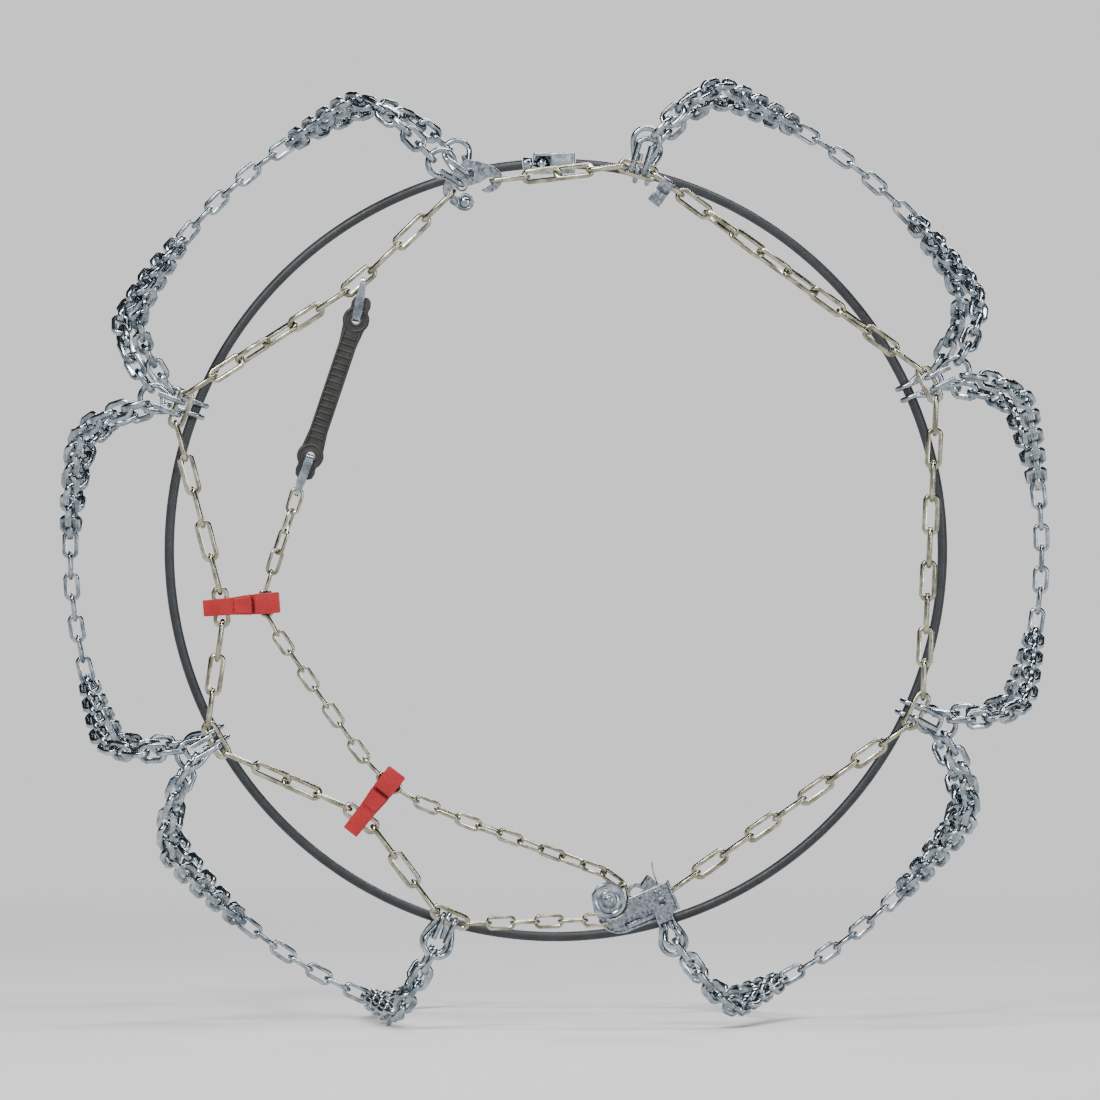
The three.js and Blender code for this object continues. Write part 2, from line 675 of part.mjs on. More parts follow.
function rubberStrap() {
  const { length, endRadius, waist, thickness, eyelet } = STRAP;
  const outline = new THREE.Shape();
  const tab = [[-12.5, 5.6], [-15, 3.4], [-15, -3.4], [-12.5, -5.6]];
  outline.absarc(0, 0, endRadius, Math.PI * 0.3, Math.PI * 0.75);
  for (const [x, y] of tab) outline.lineTo(x, y);
  outline.absarc(0, 0, endRadius, Math.PI * 1.25, Math.PI * 1.7);
  outline.lineTo(16, -waist);
  outline.lineTo(length - 16, -waist);
  outline.absarc(length, 0, endRadius, Math.PI * 1.3, Math.PI * 1.75);
  for (const [x, y] of tab) outline.lineTo(length - x, -y);
  outline.absarc(length, 0, endRadius, Math.PI * 0.25, Math.PI * 0.7);
  outline.lineTo(length - 16, waist);
  outline.lineTo(16, waist);
  outline.holes = [circle(0, 0, eyelet), circle(length, 0, eyelet)];
  const body = slab(outline, -thickness / 2, thickness / 2, 5);
  const degrees = degreesOf(STRAP_FOOT.x - STRAP_TOP.x, STRAP_FOOT.z - STRAP_TOP.z);
  piece("rubber_strap", body, blackRubber, sideFrame(STRAP_TOP, degrees));
}

// ---------- closing hook ----------

function closingHook() {
  const outline = polygon([
    [-6.3, 10.8], [-2, 13], [7.3, 11.4], [17.4, 7.9], [21.9, 4.7], [23.2, 1.8], [23.3, -2], [22.9, -4.7],
    [19.1, -9.1], [13.6, -11.4], [7.8, -9.7], [10.7, -6.8], [14.2, -4.9], [17.1, -3.6], [17.1, -0.6],
    [13.6, 0.5], [6.6, -4], [1.4, -5.6], [-1.4, -5.9], [-1.9, -8.6], [-4.2, -10.3], [-8.1, -9.9],
    [-10.9, -6.7], [-14, -9.5], [-11.2, -12.7], [-9.2, -14.2], [-6.6, -12.6], [-3.5, -11.9], [0.9, -13.6],
    [2.6, -17.8], [0.9, -22.2], [-3.5, -24], [-8, -22.2], [-9.8, -19.2], [-13.7, -16.5], [-17.8, -14.2],
    [-19.3, -11.9], [-19.8, -7.6], [-17.8, -2.5], [-13.5, 2.7], [-10.2, 6.8],
  ]);
  outline.holes = [circle(-0.2, 2.5, 3.1), circle(-5.9, -5.8, 3.1), circle(RIVET.x, RIVET.z, RIVET.shank + 0.3)];
  piece("hook_plate", slab(outline, HOOK_PLATE.low, HOOK_PLATE.high), plateSteel, sideFrame(CLOSING_HOOK));

  const keeper = polygon([
    [-14.2, -18.6], [-14.8, -16.6], [-13.2, -15], [-8.5, -13.4], [-5.8, -11.4], [-2.3, -11.1], [1.7, -13.4],
    [3.3, -17.8], [1.7, -22.2], [-2.3, -24.5], [-6.9, -23.7],
  ]);
  keeper.holes = [circle(RIVET.x, RIVET.z, RIVET.shank + 0.3)];
  piece("keeper_plate", slab(keeper, KEEPER.low, KEEPER.high), plateSteel, sideFrame(CLOSING_HOOK));

  const { shank, head } = RIVET;
  const front = KEEPER.high + 0.3;
  const back = HOOK_PLATE.low - 0.3;
  const profile = [[0, back - 1.4], [4, back - 1.4], [4, back], [shank, back], [shank, front], [head, front]];
  profile.push([head, front + 1.2], [head * 0.7, front + 2.5], [0, front + 3]);
  const place = sideFrame({ x: CLOSING_HOOK.x + RIVET.x, z: CLOSING_HOOK.z + RIVET.z });
  piece("dome_rivet", turned(profile, 10), zincPlated, place);
}

// A turned part from its profile: pairs of a radius and a height along the frame's Z.
function turned(profile, segments) {
  const points = profile.map(([radius, height]) => new THREE.Vector2(radius, height));
  return new THREE.LatheGeometry(points, segments).rotateX(Math.PI / 2);
}

// ---------- ratchet ----------

function ratchet() {
  const frame = sideFrame(RATCHET, RATCHET.tilt);
  const { inner, outer } = RATCHET_PLATE;
  const { along, across } = PAWL_PIVOT;
  const frontOutline = polygon([
    [13.2, -3.6], [43, -3.4], [43, -25.3], [39, -25.5], [38, -27.5], [38, -30], [25.9, -30], [26.7, -18.1],
    [24.1, -16.1], [-3, -15.9], [-9.6, -13.6], [-7, -11.6], [-1.2, -13.4], [4.5, -12.6], [9.3, -9.6],
  ]);
  frontOutline.holes = [circle(along, across, 1.9), circle(34.7, -15.4, 2.1)];
  const backOutline = polygon([
    [13.2, -3.6], [43, -3.4], [43, -25.3], [2, -25.3], [-4.5, -23.2], [-9.2, -18.6], [-11.8, -13],
    [-13.3, -3], [-10.5, 8.2], [-3, 13], [5, 12.3], [11, 7.3],
  ]);
  backOutline.holes = [circle(along, across, 1.9), circle(0, 0, 2.3)];
  const flange = box(43, 45, 22, -outer, outer + 1.5).translate(0, -14.2, 0);
  const lip = [[-12.2, -11], [-9.6, -18.8], [-4.8, -23.6], [2, -25.8], [26, -25.8]];
  const barShape = box(25.9, 38, 2.4, -1.25, 1.25).translate(0, -32.1, 0);
  const cheeks = [25.9, 37].map((left) => box(left, left + 1, 8.3, -1.25, outer).translate(0, -29.15, 0));
  const body = joined([
    slab(frontOutline, inner, outer),
    slab(backOutline, -outer, -inner),
    flange,
    slab(bentSheet(lip, 1.4), -outer, -5.5),
    barShape,
    ...cheeks,
  ]);
  const windows = [-1, 1].map((side) => box(42, 46, 4.7, -2.2, 2.2).translate(0, -11.4, side * 4.4));
  piece("ratchet_housing", cut(body, windows), plateSteel, frame);

  const { rim, core, bore, halfWidth, groove } = PULLEY;
  const spool = [[bore, -halfWidth], [rim, -halfWidth], [rim, -groove], [core, -groove], [core, groove]];
  spool.push([rim, groove], [rim, halfWidth], [6.2, halfWidth], [6.2, 5.6], [3.6, 5.6], [3.6, halfWidth]);
  spool.push([bore, halfWidth], [bore, -halfWidth]);
  piece("pulley", turned(spool, 18), plateSteel, frame);
  const pulleyPin = [[0, -outer - 1.2], [3.2, -outer - 1.2], [3.2, -outer - 0.3], [2, -outer - 0.3]];
  pulleyPin.push([2, halfWidth + 0.3], [3.1, halfWidth + 0.3], [2.6, halfWidth + 1.2], [0, halfWidth + 1.2]);
  piece("pulley_pin", turned(pulleyPin, 8), zincPlated, frame);

  const cheek = polygon([
    [13.4, -2.9], [14.6, 1.2], [17.5, 3.6], [21.9, 4.1], [25, 2.2], [32.6, 6.6], [36.8, -3], [37.3, -8.5],
    [36, -12], [31.4, -12], [27.5, -6], [25.5, -2.6], [22, 1.2], [19.5, 1.6], [16.8, 0.2], [15.4, -2.9],
  ]);
  cheek.holes = [circle(along, across, 1.9)];
  const bridge = polygon([[24.6, 1.6], [32.2, 6.6], [32.9, 5.4], [25.3, 0.6]]);
  const pawl = joined([
    slab(cheek, PAWL_CHEEK.low, PAWL_CHEEK.high),
    slab(cheek, -PAWL_CHEEK.high, -PAWL_CHEEK.low),
    slab(bridge, -PAWL_CHEEK.high, PAWL_CHEEK.high),
  ]);
  piece("pawl", pawl, plateSteel, frame);
  const pinEnd = outer + 0.3;
  const pawlPin = [[0, -pinEnd - 0.9], [2.9, -pinEnd - 0.9], [2.9, -pinEnd], [1.6, -pinEnd], [1.6, pinEnd]];
  pawlPin.push([2.9, pinEnd], [2.6, pinEnd + 0.9], [0, pinEnd + 0.9]);
  const pivot = frame.clone().multiply(new THREE.Matrix4().makeTranslation(along, across, 0));
  piece("pawl_pin", turned(pawlPin, 8), zincPlated, pivot);
  piece("pawl_spring", wire(springLine(), 1, 4), zincPlated, pivot);
}

// The pawl's spring: two turns round its pin, one leg up past the pawl and one inside the housing.
function springLine() {
  const radius = 2.7;
  const line = [new THREE.Vector3(5.2, 22, 0), new THREE.Vector3(3.6, 16, 0)];
  for (let step = 0; step <= 17; step++) {
    const angle = -step * (Math.PI / 4);
    line.push(new THREE.Vector3(radius * Math.cos(angle), radius * Math.sin(angle), -1.6 + step * 0.19));
  }
  line.push(new THREE.Vector3(-9, -5.4, 1.8));
  return line;
}

// ---------- drop tab ----------

// A folded strip over one link of the side chain; its two ends meet in a tab below.
function dropTab(joints) {
  const [start, end] = joints.slice(-3, -1);
  const centre = start.clone().lerp(end, 0.5);
  const along = end.clone().sub(start).normalize();
  const inwards = new THREE.Vector3(-along.z, 0, along.x);
  if (inwards.dot(centre) > 0) inwards.negate();
  const line = [[17, 1.1], [7, 1.3], [3.4, 7.3], [-2.9, 7.3], [-2.9, -7.3], [3.4, -7.3], [7, -1.3], [17, -1.1]];
  const shape = slab(bentSheet(line, 1.3), -5, 5);
  const sideways = inwards.clone().cross(OUTWARDS);
  const place = new THREE.Matrix4().makeBasis(inwards, OUTWARDS, sideways).setPosition(centre);
  piece("drop_tab", shape, plateSteel, place);
}

// ---------- inner hoop ----------

function innerHoop() {
  const gap = HOOP_JOINT_HALF / HOOP_RADIUS;
  const top = THREE.MathUtils.degToRad(HOOP_JOINT_ANGLE);
  const steps = 60;
  const line = Array.from({ length: steps + 1 }, (_, i) => {
    const angle = top + gap + ((2 * Math.PI - 2 * gap) * i) / steps;
    return new THREE.Vector3(HOOP_RADIUS * Math.cos(angle), SIDE_PLANE, HOOP_RADIUS * Math.sin(angle));
  });
  piece("hoop_cable", wire(line, HOOP_CABLE, 6), cableSheath);

  const centre = { x: HOOP_RADIUS * Math.cos(top), z: HOOP_RADIUS * Math.sin(top) };
  const frame = sideFrame(centre, HOOP_JOINT_ANGLE - 90).premultiply(throughToInner());
  const ball = [[0, 0], [3.6, 1.4], [5, 5], [3.6, 8.6], [1.8, 9.6], [1.8, 13], [5.2, 13], [5.2, 19.5], [0, 19.5]];
  const lying = new THREE.Matrix4().makeRotationY(-Math.PI / 2);
  piece("hoop_ball_end", turned(ball, 8), zincPlated, frame.clone().multiply(lying));
  const holder = box(-19.5, -1, 16, -8, 8).translate(0, 0, 0);
  const front = box(-1.5, 12, 16, -8, 8);
  const pocket = box(-0.6, 10.2, 10.8, -5.4, 20);
  const neckWay = box(9, 14, 4.4, -2.2, 20);
  const socket = cut(joined([holder, front]), [pocket, neckWay]);
  const mirror = new THREE.Matrix4().makeRotationZ(Math.PI);
  piece("hoop_socket", socket, zincPlated, frame.clone().multiply(mirror));
}

// ---------- assembly ----------

closingHook();
const joints32 = sideChains();
dropTab(joints32);
ratchet();
tensionChain();
clip("upper_clip", upperClipLink);
clip("lower_clip", lowerClipLink);
stripHook("upper_strap_hook", strapTopBar(), STRAP_TOP, 5.4);
stripHook("lower_strap_hook", strapFootBar(), STRAP_FOOT, 3.3);
rubberStrap();
for (const station of Object.keys(OUTER_SEATS)) outerShackle(station);
treadNet();
innerHoop();
for (const station of Object.keys(STATION_ANGLES)) innerShackle(station);

export default chain;
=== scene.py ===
"""Looks of a snow chain as it sits on a mounted tyre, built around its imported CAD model.

Lengths are in millimetres until a piece is placed. The axle is the Y axis, the outer side looks along -Y, and
Z is up. Eight stations carry the net: at each one a wire shackle joins the side chain to the tread chain.
Station 1 is the closing hook and station 5 the ratchet.
"""
import math

import bmesh
import bpy
from mathutils import Matrix, Quaternion, Vector


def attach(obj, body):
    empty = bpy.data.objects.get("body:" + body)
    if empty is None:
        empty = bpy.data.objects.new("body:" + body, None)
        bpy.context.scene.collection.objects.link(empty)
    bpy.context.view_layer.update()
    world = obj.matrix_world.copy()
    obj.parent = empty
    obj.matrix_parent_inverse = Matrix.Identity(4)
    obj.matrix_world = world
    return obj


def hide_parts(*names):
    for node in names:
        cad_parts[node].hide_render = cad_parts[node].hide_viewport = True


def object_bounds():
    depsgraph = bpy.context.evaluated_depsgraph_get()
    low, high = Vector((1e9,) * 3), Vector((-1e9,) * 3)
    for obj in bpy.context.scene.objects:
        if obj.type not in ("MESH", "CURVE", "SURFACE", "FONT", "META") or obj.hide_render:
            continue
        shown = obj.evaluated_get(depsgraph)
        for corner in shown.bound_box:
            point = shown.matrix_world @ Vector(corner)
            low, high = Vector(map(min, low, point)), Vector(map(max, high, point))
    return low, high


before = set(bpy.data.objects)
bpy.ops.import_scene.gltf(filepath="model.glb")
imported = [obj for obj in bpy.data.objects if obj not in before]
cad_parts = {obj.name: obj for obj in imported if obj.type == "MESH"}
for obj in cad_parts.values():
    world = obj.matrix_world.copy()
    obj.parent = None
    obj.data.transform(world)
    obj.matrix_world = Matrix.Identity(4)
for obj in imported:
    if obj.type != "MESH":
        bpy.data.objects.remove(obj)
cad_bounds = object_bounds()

MM = 0.001

# ---------- camera, light and room ----------

# In metres, as the camera and the lights are.
FLOOR_RADIUS = 2.4
FLOOR_FADE_START = 0.9
FLOOR_FADE_END = 2.3


def make_camera():
    data = bpy.data.cameras.new("camera")
    data.sensor_width = 36
    data.lens = 266.8
    data.clip_end = 50
    camera = bpy.data.objects.new("camera", data)
    camera.location = (-0.0044, -6, 0)
    camera.rotation_euler = (math.radians(90), 0, 0)
    bpy.context.collection.objects.link(camera)
    bpy.context.scene.camera = camera


def area_light(name, place, target, size, power, color=(1, 1, 1)):
    data = bpy.data.lights.new(name, "AREA")
    data.shape = "RECTANGLE"
    data.size, data.size_y = size
    data.energy = power
    data.color = color
    light = bpy.data.objects.new(name, data)
    light.location = place
    light.rotation_euler = (Vector(target) - Vector(place)).to_track_quat("-Z", "Y").to_euler()
    bpy.context.collection.objects.link(light)


def make_light():
    area_light("key_softbox", (-1.5, -2.6, 2.4), (0, 0, 0), (1.1, 0.9), 120, (1, 0.98, 0.96))
    area_light("fill_softbox", (2.5, -2.6, 0.6), (0, 0, 0), (0.6, 1.9), 42, (0.93, 0.96, 1))
    area_light("strip_above", (0.3, -0.5, 2), (0, 0, 0), (2.2, 0.3), 50)
    area_light("front_panel", (0.2, -4.2, 1.5), (0, 0, 0), (3, 1.5), 22)
    area_light("back_softbox", (0.4, 2.8, 1.9), (0, 0, 0), (1.6, 0.9), 50)


def make_room():
    """A pale room all round that is dim overhead, so that metal keeps its dark reflections."""
    world = bpy.data.worlds.new("room")
    world.use_nodes = True
    tree = world.node_tree
    direction = add_node(tree, "ShaderNodeTexCoord").outputs["Generated"]
    height = add_node(tree, "ShaderNodeSeparateXYZ", {"Vector": direction}).outputs["Z"]
    overhead = spread(tree, height, 0, 1, 0.08, 0.2)
    color = mix_color(tree, overhead, (0.95, 0.955, 0.96, 1), (0.03, 0.035, 0.04, 1))
    tree.links.new(color, tree.nodes["Background"].inputs["Color"])
    bpy.context.scene.world = world


# ---------- materials ----------


def linear(hex_color):
    """The linear colour of an sRGB hex string."""
    values = [int(hex_color[i : i + 2], 16) / 255 for i in (1, 3, 5)]
    return [v / 12.92 if v <= 0.04045 else ((v + 0.055) / 1.055) ** 2.4 for v in values] + [1]


def add_node(tree, kind, inputs=None, **settings):
    """Adds one shader node. An input given as a socket is linked, and any other value is set."""
    node = tree.nodes.new(kind)
    for name, value in settings.items():
        setattr(node, name, value)
    for name, value in (inputs or {}).items():
        if isinstance(value, bpy.types.NodeSocket):
            tree.links.new(value, node.inputs[name])
        else:
            node.inputs[name].default_value = value
    return node


def new_material(name):
    material = bpy.data.materials.new(name)
    material.use_nodes = True
    return material, material.node_tree, material.node_tree.nodes["Principled BSDF"]


def noise(tree, size_mm, detail=3.0, roughness=0.55):
    """Noise in the object's own space whose features are about this many millimetres."""
    place = add_node(tree, "ShaderNodeTexCoord")
    inputs = {"Vector": place.outputs["Object"], "Scale": 1000 / size_mm}
    inputs.update({"Detail": detail, "Roughness": roughness})
    return add_node(tree, "ShaderNodeTexNoise", inputs).outputs["Fac"]


def spread(tree, factor, low, high, start=0.3, stop=0.7):
    """A number that goes from low to high as the factor goes from start to stop."""
    inputs = {"Value": factor, "From Min": start, "From Max": stop, "To Min": low, "To Max": high}
    return add_node(tree, "ShaderNodeMapRange", inputs).outputs["Result"]


def mix_color(tree, factor, first, second):
    node = add_node(tree, "ShaderNodeMix", data_type="RGBA")
    for socket, value in ((node.inputs[0], factor), (node.inputs[6], first), (node.inputs[7], second)):
        if isinstance(value, bpy.types.NodeSocket):
            tree.links.new(value, socket)
        else:
            socket.default_value = value
    return node.outputs[2]


def bump(tree, height, distance_mm, strength=1.0, under=None):
    inputs = {"Height": height, "Distance": distance_mm * MM, "Strength": strength}
    if under:
        inputs["Normal"] = under
    return add_node(tree, "ShaderNodeBump", inputs).outputs["Normal"]


def plated_steel(name, bright, dull, grime, rough_low, rough_high, patch_mm=9):
    """Electroplated steel: a clear-grey plate with duller patches and road film in random spots, all set
    darker than real zinc as painted shade for the dark tyre that the metal would reflect.
    """
    material, tree, shader = new_material(name)
    patches = noise(tree, patch_mm, 4)
    film = noise(tree, 3.2, 5, 0.65)
    plate = mix_color(tree, spread(tree, patches, 0, 1, 0.38, 0.66), linear(bright), linear(dull))
    color = mix_color(tree, spread(tree, film, 0, 0.4, 0.5, 0.74), plate, linear(grime))
    tree.links.new(color, shader.inputs["Base Color"])
    shader.inputs["Metallic"].default_value = 1
    tree.links.new(spread(tree, film, rough_low, rough_high, 0.35, 0.68), shader.inputs["Roughness"])
    drawn = bump(tree, noise(tree, 0.9, 3), 0.03, 0.5)
    tree.links.new(bump(tree, noise(tree, 5, 2), 0.12, 0.4, drawn), shader.inputs["Normal"])
    return material


def moulded_nylon(name):
    """Injection-moulded red nylon: slightly uneven gloss and a fine spark-eroded grain."""
    material, tree, shader = new_material(name)
    tint = mix_color(tree, spread(tree, noise(tree, 14, 2), 0, 1), linear("#940a12"), linear("#a31118"))
    tree.links.new(tint, shader.inputs["Base Color"])
    tree.links.new(spread(tree, noise(tree, 4, 4), 0.34, 0.5), shader.inputs["Roughness"])
    tree.links.new(bump(tree, noise(tree, 0.5, 2), 0.02, 0.6), shader.inputs["Normal"])
    return material


def moulded_rubber(name):
    """Pressed rubber: near-black, dusty in places, with a soft grain."""
    material, tree, shader = new_material(name)
    dust = spread(tree, noise(tree, 7, 5, 0.6), 0, 0.7, 0.45, 0.75)
    tree.links.new(mix_color(tree, dust, linear("#201f1e"), linear("#3b3936")), shader.inputs["Base Color"])
    tree.links.new(spread(tree, noise(tree, 3, 4), 0.45, 0.62), shader.inputs["Roughness"])
    tree.links.new(bump(tree, noise(tree, 0.7, 3), 0.04, 0.7), shader.inputs["Normal"])
    return material


def extruded_sheath(name):
    """Extruded plastic over steel cable: dark, smooth, with faint drag marks."""
    material, tree, shader = new_material(name)
    tint = mix_color(tree, spread(tree, noise(tree, 11, 3), 0, 1), linear("#1b1e21"), linear("#292d31"))
    tree.links.new(tint, shader.inputs["Base Color"])
    tree.links.new(spread(tree, noise(tree, 2.5, 4), 0.38, 0.56), shader.inputs["Roughness"])
    tree.links.new(bump(tree, noise(tree, 1.1, 3), 0.03, 0.5), shader.inputs["Normal"])
    return material


def matt_paint(name):
    """Matt pale paint for the studio floor, which fades into the room towards its rim."""
    material, tree, shader = new_material(name)
    tint = mix_color(tree, noise(tree, 900, 2), linear("#dfdfdf"), linear("#e4e4e3"))
    tree.links.new(tint, shader.inputs["Base Color"])
    shader.inputs["Roughness"].default_value = 0.85
    place = add_node(tree, "ShaderNodeTexCoord").outputs["Object"]
    radius = add_node(tree, "ShaderNodeVectorMath", {"Vector": place}, operation="LENGTH").outputs["Value"]
    faded = spread(tree, radius, 1, 0, FLOOR_FADE_START, FLOOR_FADE_END)
    tree.links.new(faded, shader.inputs["Alpha"])
    return material


# The plate tones below are darker than real zinc: painted shade standing in for the dark tyre reflected in
# the metal.
tread_zinc = plated_steel("tread_chain_zinc", "#b1b9bf", "#687580", "#262b2f", 0.12, 0.3)
side_zinc = plated_steel("side_chain_zinc", "#bab8a4", "#7b7864", "#302e25", 0.13, 0.3)
sheet_zinc = plated_steel("pressed_sheet_zinc", "#a6abb3", "#5c6370", "#343940", 0.18, 0.34, 2.2)
red_nylon = moulded_nylon("moulded_red_nylon")
black_rubber = moulded_rubber("pressed_black_rubber")
cable_sheath = extruded_sheath("extruded_cable_sheath")
floor_paint = matt_paint("matt_floor_paint")

# ---------- pieces ----------


def finished(bm):
    """The mesh of a bmesh, with its normals outwards."""
    bmesh.ops.recalc_face_normals(bm, faces=bm.faces)
    mesh = bpy.data.meshes.new("shape")
    bm.to_mesh(mesh)
    bm.free()
    return mesh


def merged(meshes):
    """One mesh from several meshes, each with the matrix that places it."""
    bm = bmesh.new()
    for mesh, place in meshes:
        first = len(bm.verts)
        bm.from_mesh(mesh)
        bm.verts.ensure_lookup_table()
        bmesh.ops.transform(bm, matrix=place, verts=bm.verts[first:])
    return finished(bm)


def piece(node, mesh, material, body="chain", place=Matrix(), smooth_below=50):
    """Places a mesh as the looks of one CAD node."""
    mesh.transform(Matrix.Scale(MM, 4) @ place)
    mesh.polygons.foreach_set("use_smooth", [True] * len(mesh.polygons))
    mesh.set_sharp_from_angle(angle=math.radians(smooth_below))
    mesh.materials.clear()
    mesh.materials.append(material)
    looks = bpy.data.objects.new(f"{node}_looks", mesh)
    mesh.name = looks.name
    bpy.context.collection.objects.link(looks)
    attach(looks, body)
    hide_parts(node)
    return looks


def mesh_of(curve):
    """The mesh that a curve makes; the curve itself is thrown away."""
    holder = bpy.data.objects.new("curve", curve)
    bpy.context.collection.objects.link(holder)
    shown = holder.evaluated_get(bpy.context.evaluated_depsgraph_get())
    mesh = bpy.data.meshes.new_from_object(shown)
    bpy.data.objects.remove(holder)
    bpy.data.curves.remove(curve)
    return mesh


def wire(points, thickness, resolution=6, closed=False, sides=3):
    """Round wire bent smoothly through the given points."""
    curve = bpy.data.curves.new("wire", "CURVE")
    curve.dimensions = "3D"
    curve.resolution_u = resolution
    curve.bevel_depth = thickness / 2
    curve.bevel_resolution = sides
    curve.use_fill_caps = True
    spline = curve.splines.new("BEZIER")
    spline.bezier_points.add(len(points) - 1)
    for target, point in zip(spline.bezier_points, points):
        target.co = point
        target.handle_left_type = target.handle_right_type = "AUTO"
    spline.use_cyclic_u = closed
    return mesh_of(curve)


FILLET_POINTS = 5


def filleted(points, radius):
    """The outline with each corner rounded, as far as its edges leave room."""
    corners = [Vector(p) for p in points]
    rounded = []
    for i, corner in enumerate(corners):
        back = corners[i - 1] - corner
        ahead = corners[(i + 1) % len(corners)] - corner
        half_angle = back.angle(ahead, math.pi) / 2
        reach = min(radius / max(math.tan(half_angle), 1e-3), back.length * 0.49, ahead.length * 0.49)
        start = corner + back.normalized() * reach
        end = corner + ahead.normalized() * reach
        for step in range(FILLET_POINTS):
            t = step / (FILLET_POINTS - 1)
            rounded.append(start * (1 - t) ** 2 + corner * (2 * t * (1 - t)) + end * t**2)
    return rounded


def circle(x, y, radius, steps=28):
    return [Vector((x + radius * math.cos(a), y + radius * math.sin(a))) for a in turns(steps)]


def turns(steps):
    return [2 * math.pi * i / steps for i in range(steps)]


def plate(outlines, low, high, edge=0.3):
    """A flat plate between two heights from its outline and its holes, with its edges slightly rounded."""
    curve = bpy.data.curves.new("plate", "CURVE")
    curve.dimensions = "2D"
    curve.fill_mode = "BOTH"
    curve.extrude = (high - low) / 2 - edge
    curve.bevel_depth = edge
    curve.bevel_resolution = 2
    curve.offset = -edge
    for outline in outlines:
        spline = curve.splines.new("POLY")
        spline.points.add(len(outline) - 1)
        for target, (x, y) in zip(spline.points, outline):
            target.co = (x, y, 0, 1)
        spline.use_cyclic_u = True
    mesh = mesh_of(curve)
    mesh.transform(Matrix.Translation((0, 0, (low + high) / 2)))
    return mesh


def turned(profile, steps=48):
    """A turned part from its profile: pairs of a radius and a height."""
    bm = bmesh.new()
    points = [bm.verts.new((radius, 0, height)) for radius, height in profile]
    edges = [bm.edges.new(pair) for pair in zip(points, points[1:])]
    geometry = points + edges
    bmesh.ops.spin(bm, geom=geometry, axis=(0, 0, 1), angle=2 * math.pi, steps=steps, use_merge=True)
    bmesh.ops.remove_doubles(bm, verts=bm.verts, dist=1e-4)
    return finished(bm)


def block(left, right, back, front, low, high, edge=0.5, segments=3):
    """A box with rounded edges."""
    bm = bmesh.new()
    bmesh.ops.create_cube(bm, size=1)
    size = Matrix.Diagonal((right - left, front - back, high - low, 1))
    centre = Matrix.Translation(((left + right) / 2, (back + front) / 2, (low + high) / 2))
    bmesh.ops.transform(bm, matrix=centre @ size, verts=bm.verts)
    bmesh.ops.bevel(
        bm, geom=bm.edges, offset=edge, segments=segments, profile=0.5, affect="EDGES", material=-1
    )
    return finished(bm)


def folded_strip(line, thickness, width, radius=2.0, edge=0.25):
    """A strip of sheet folded along a line in its X-Y plane, as wide as given along Z."""
    path = [Vector(p) for p in line]
    path = [path[0], *filleted_open(path, radius), path[-1]]
    sides = ([], [])
    for i, point in enumerate(path):
        before = path[max(i - 1, 0)]
        after = path[min(i + 1, len(path) - 1)]
        along = (after - before).normalized()
        across = Vector((-along.y, along.x)) * (thickness / 2)
        sides[0].append(point + across)
        sides[1].insert(0, point - across)
    return plate([sides[0] + sides[1]], -width / 2, width / 2, edge)


def filleted_open(path, radius):
    """The inner corners of an open line, rounded."""
    return filleted([p[:2] for p in path], radius)[FILLET_POINTS:-FILLET_POINTS]


def side_frame(x, z, degrees=0.0, y=None):
    """A frame in the outer side plane: X at an angle from the plane's own X, and Z outwards, along -Y."""
    angle = math.radians(degrees)
    cosine, sine = math.cos(angle), math.sin(angle)
    turn = Matrix(((cosine, -sine, 0), (0, 0, -1), (sine, cosine, 0))).to_4x4()
    return Matrix.Translation((x, -SIDE_PLANE if y is None else y, z)) @ turn


# ---------- the chain's layout ----------

# Centreline of the chain over the tyre's section: flat tread, round shoulder, upright side.
TREAD_RADIUS = 357.5
TREAD_HALF_WIDTH = 92
SHOULDER_RADIUS = 45
SIDE_PLANE = TREAD_HALF_WIDTH + SHOULDER_RADIUS
SHOULDER_LENGTH = SHOULDER_RADIUS * math.pi / 2

# A link's inner length, outer width and wire; "square" is how far its outer half is squared.
TREAD_CHAIN = {"pitch": 13.4, "width": 15, "wire": 4.4, "square": 4.5}
SIDE_CHAIN = {"pitch": 23.6, "width": 12.3, "wire": 3.6, "square": 2}
CENTRE_CHAIN = {"pitch": 15.6, "width": 12, "wire": 3.3, "square": 2}
TENSION_CHAIN = {"pitch": 16, "width": 10.5, "wire": 2.6, "square": 2}
RING_STATIONS = 12

CLOSING_HOOK = (-62, 268)
RATCHET = (38.1, -251.8)
RATCHET_TILT = 22.8
STATION_2 = (59, 273.4)
STATION_3 = (268.3, 119.4)
STATION_4 = (259, -115.8)
STATION_6 = (-76.3, -264)
STATION_7 = (-244.6, -136.7)
STATION_8 = (-269.8, 101.4)
STRAP_LINK = (-142, 193.5)
UPPER_CLIP_LINK = (-241, -41)
LOWER_CLIP_LINK = (-140.3, -192.8)

FIELD_HALF_ANGLE = 9.2
FIELDS = [(3, 2, 51.5), (4, 3, -1), (5, 4, -53.5), (7, 6, 238.3), (8, 7, 186.8), (1, 8, 131.8)]
STATION_ANGLES = {1: 104, 2: 77, 3: 24.2, 4: -24.4, 5: -73.3, 6: 252.8, 7: 208.7, 8: 158.6}
PULLS = {1: 47, 2: 41, 3: 52, 4: 52, 5: 19, 6: 8, 7: 52, 8: 52}

SHACKLE_WIRE = 4.2
SHACKLE = {"loop_centre": 17, "loop_radius": 9.5, "spread": 4.6, "tip": 14.5}
RATCHET_SHACKLE = {"loop_centre": 11.2, "loop_radius": 5.9, "spread": 2.4, "tip": 3.5}
HOOP_RADIUS = 291
HOOP_CABLE = 8
CHAIN_ON_PULLEY = 14

OUTWARDS = Vector((0, -1, 0))


def in_side_plane(place):
    return Vector((place[0], -SIDE_PLANE, place[1]))


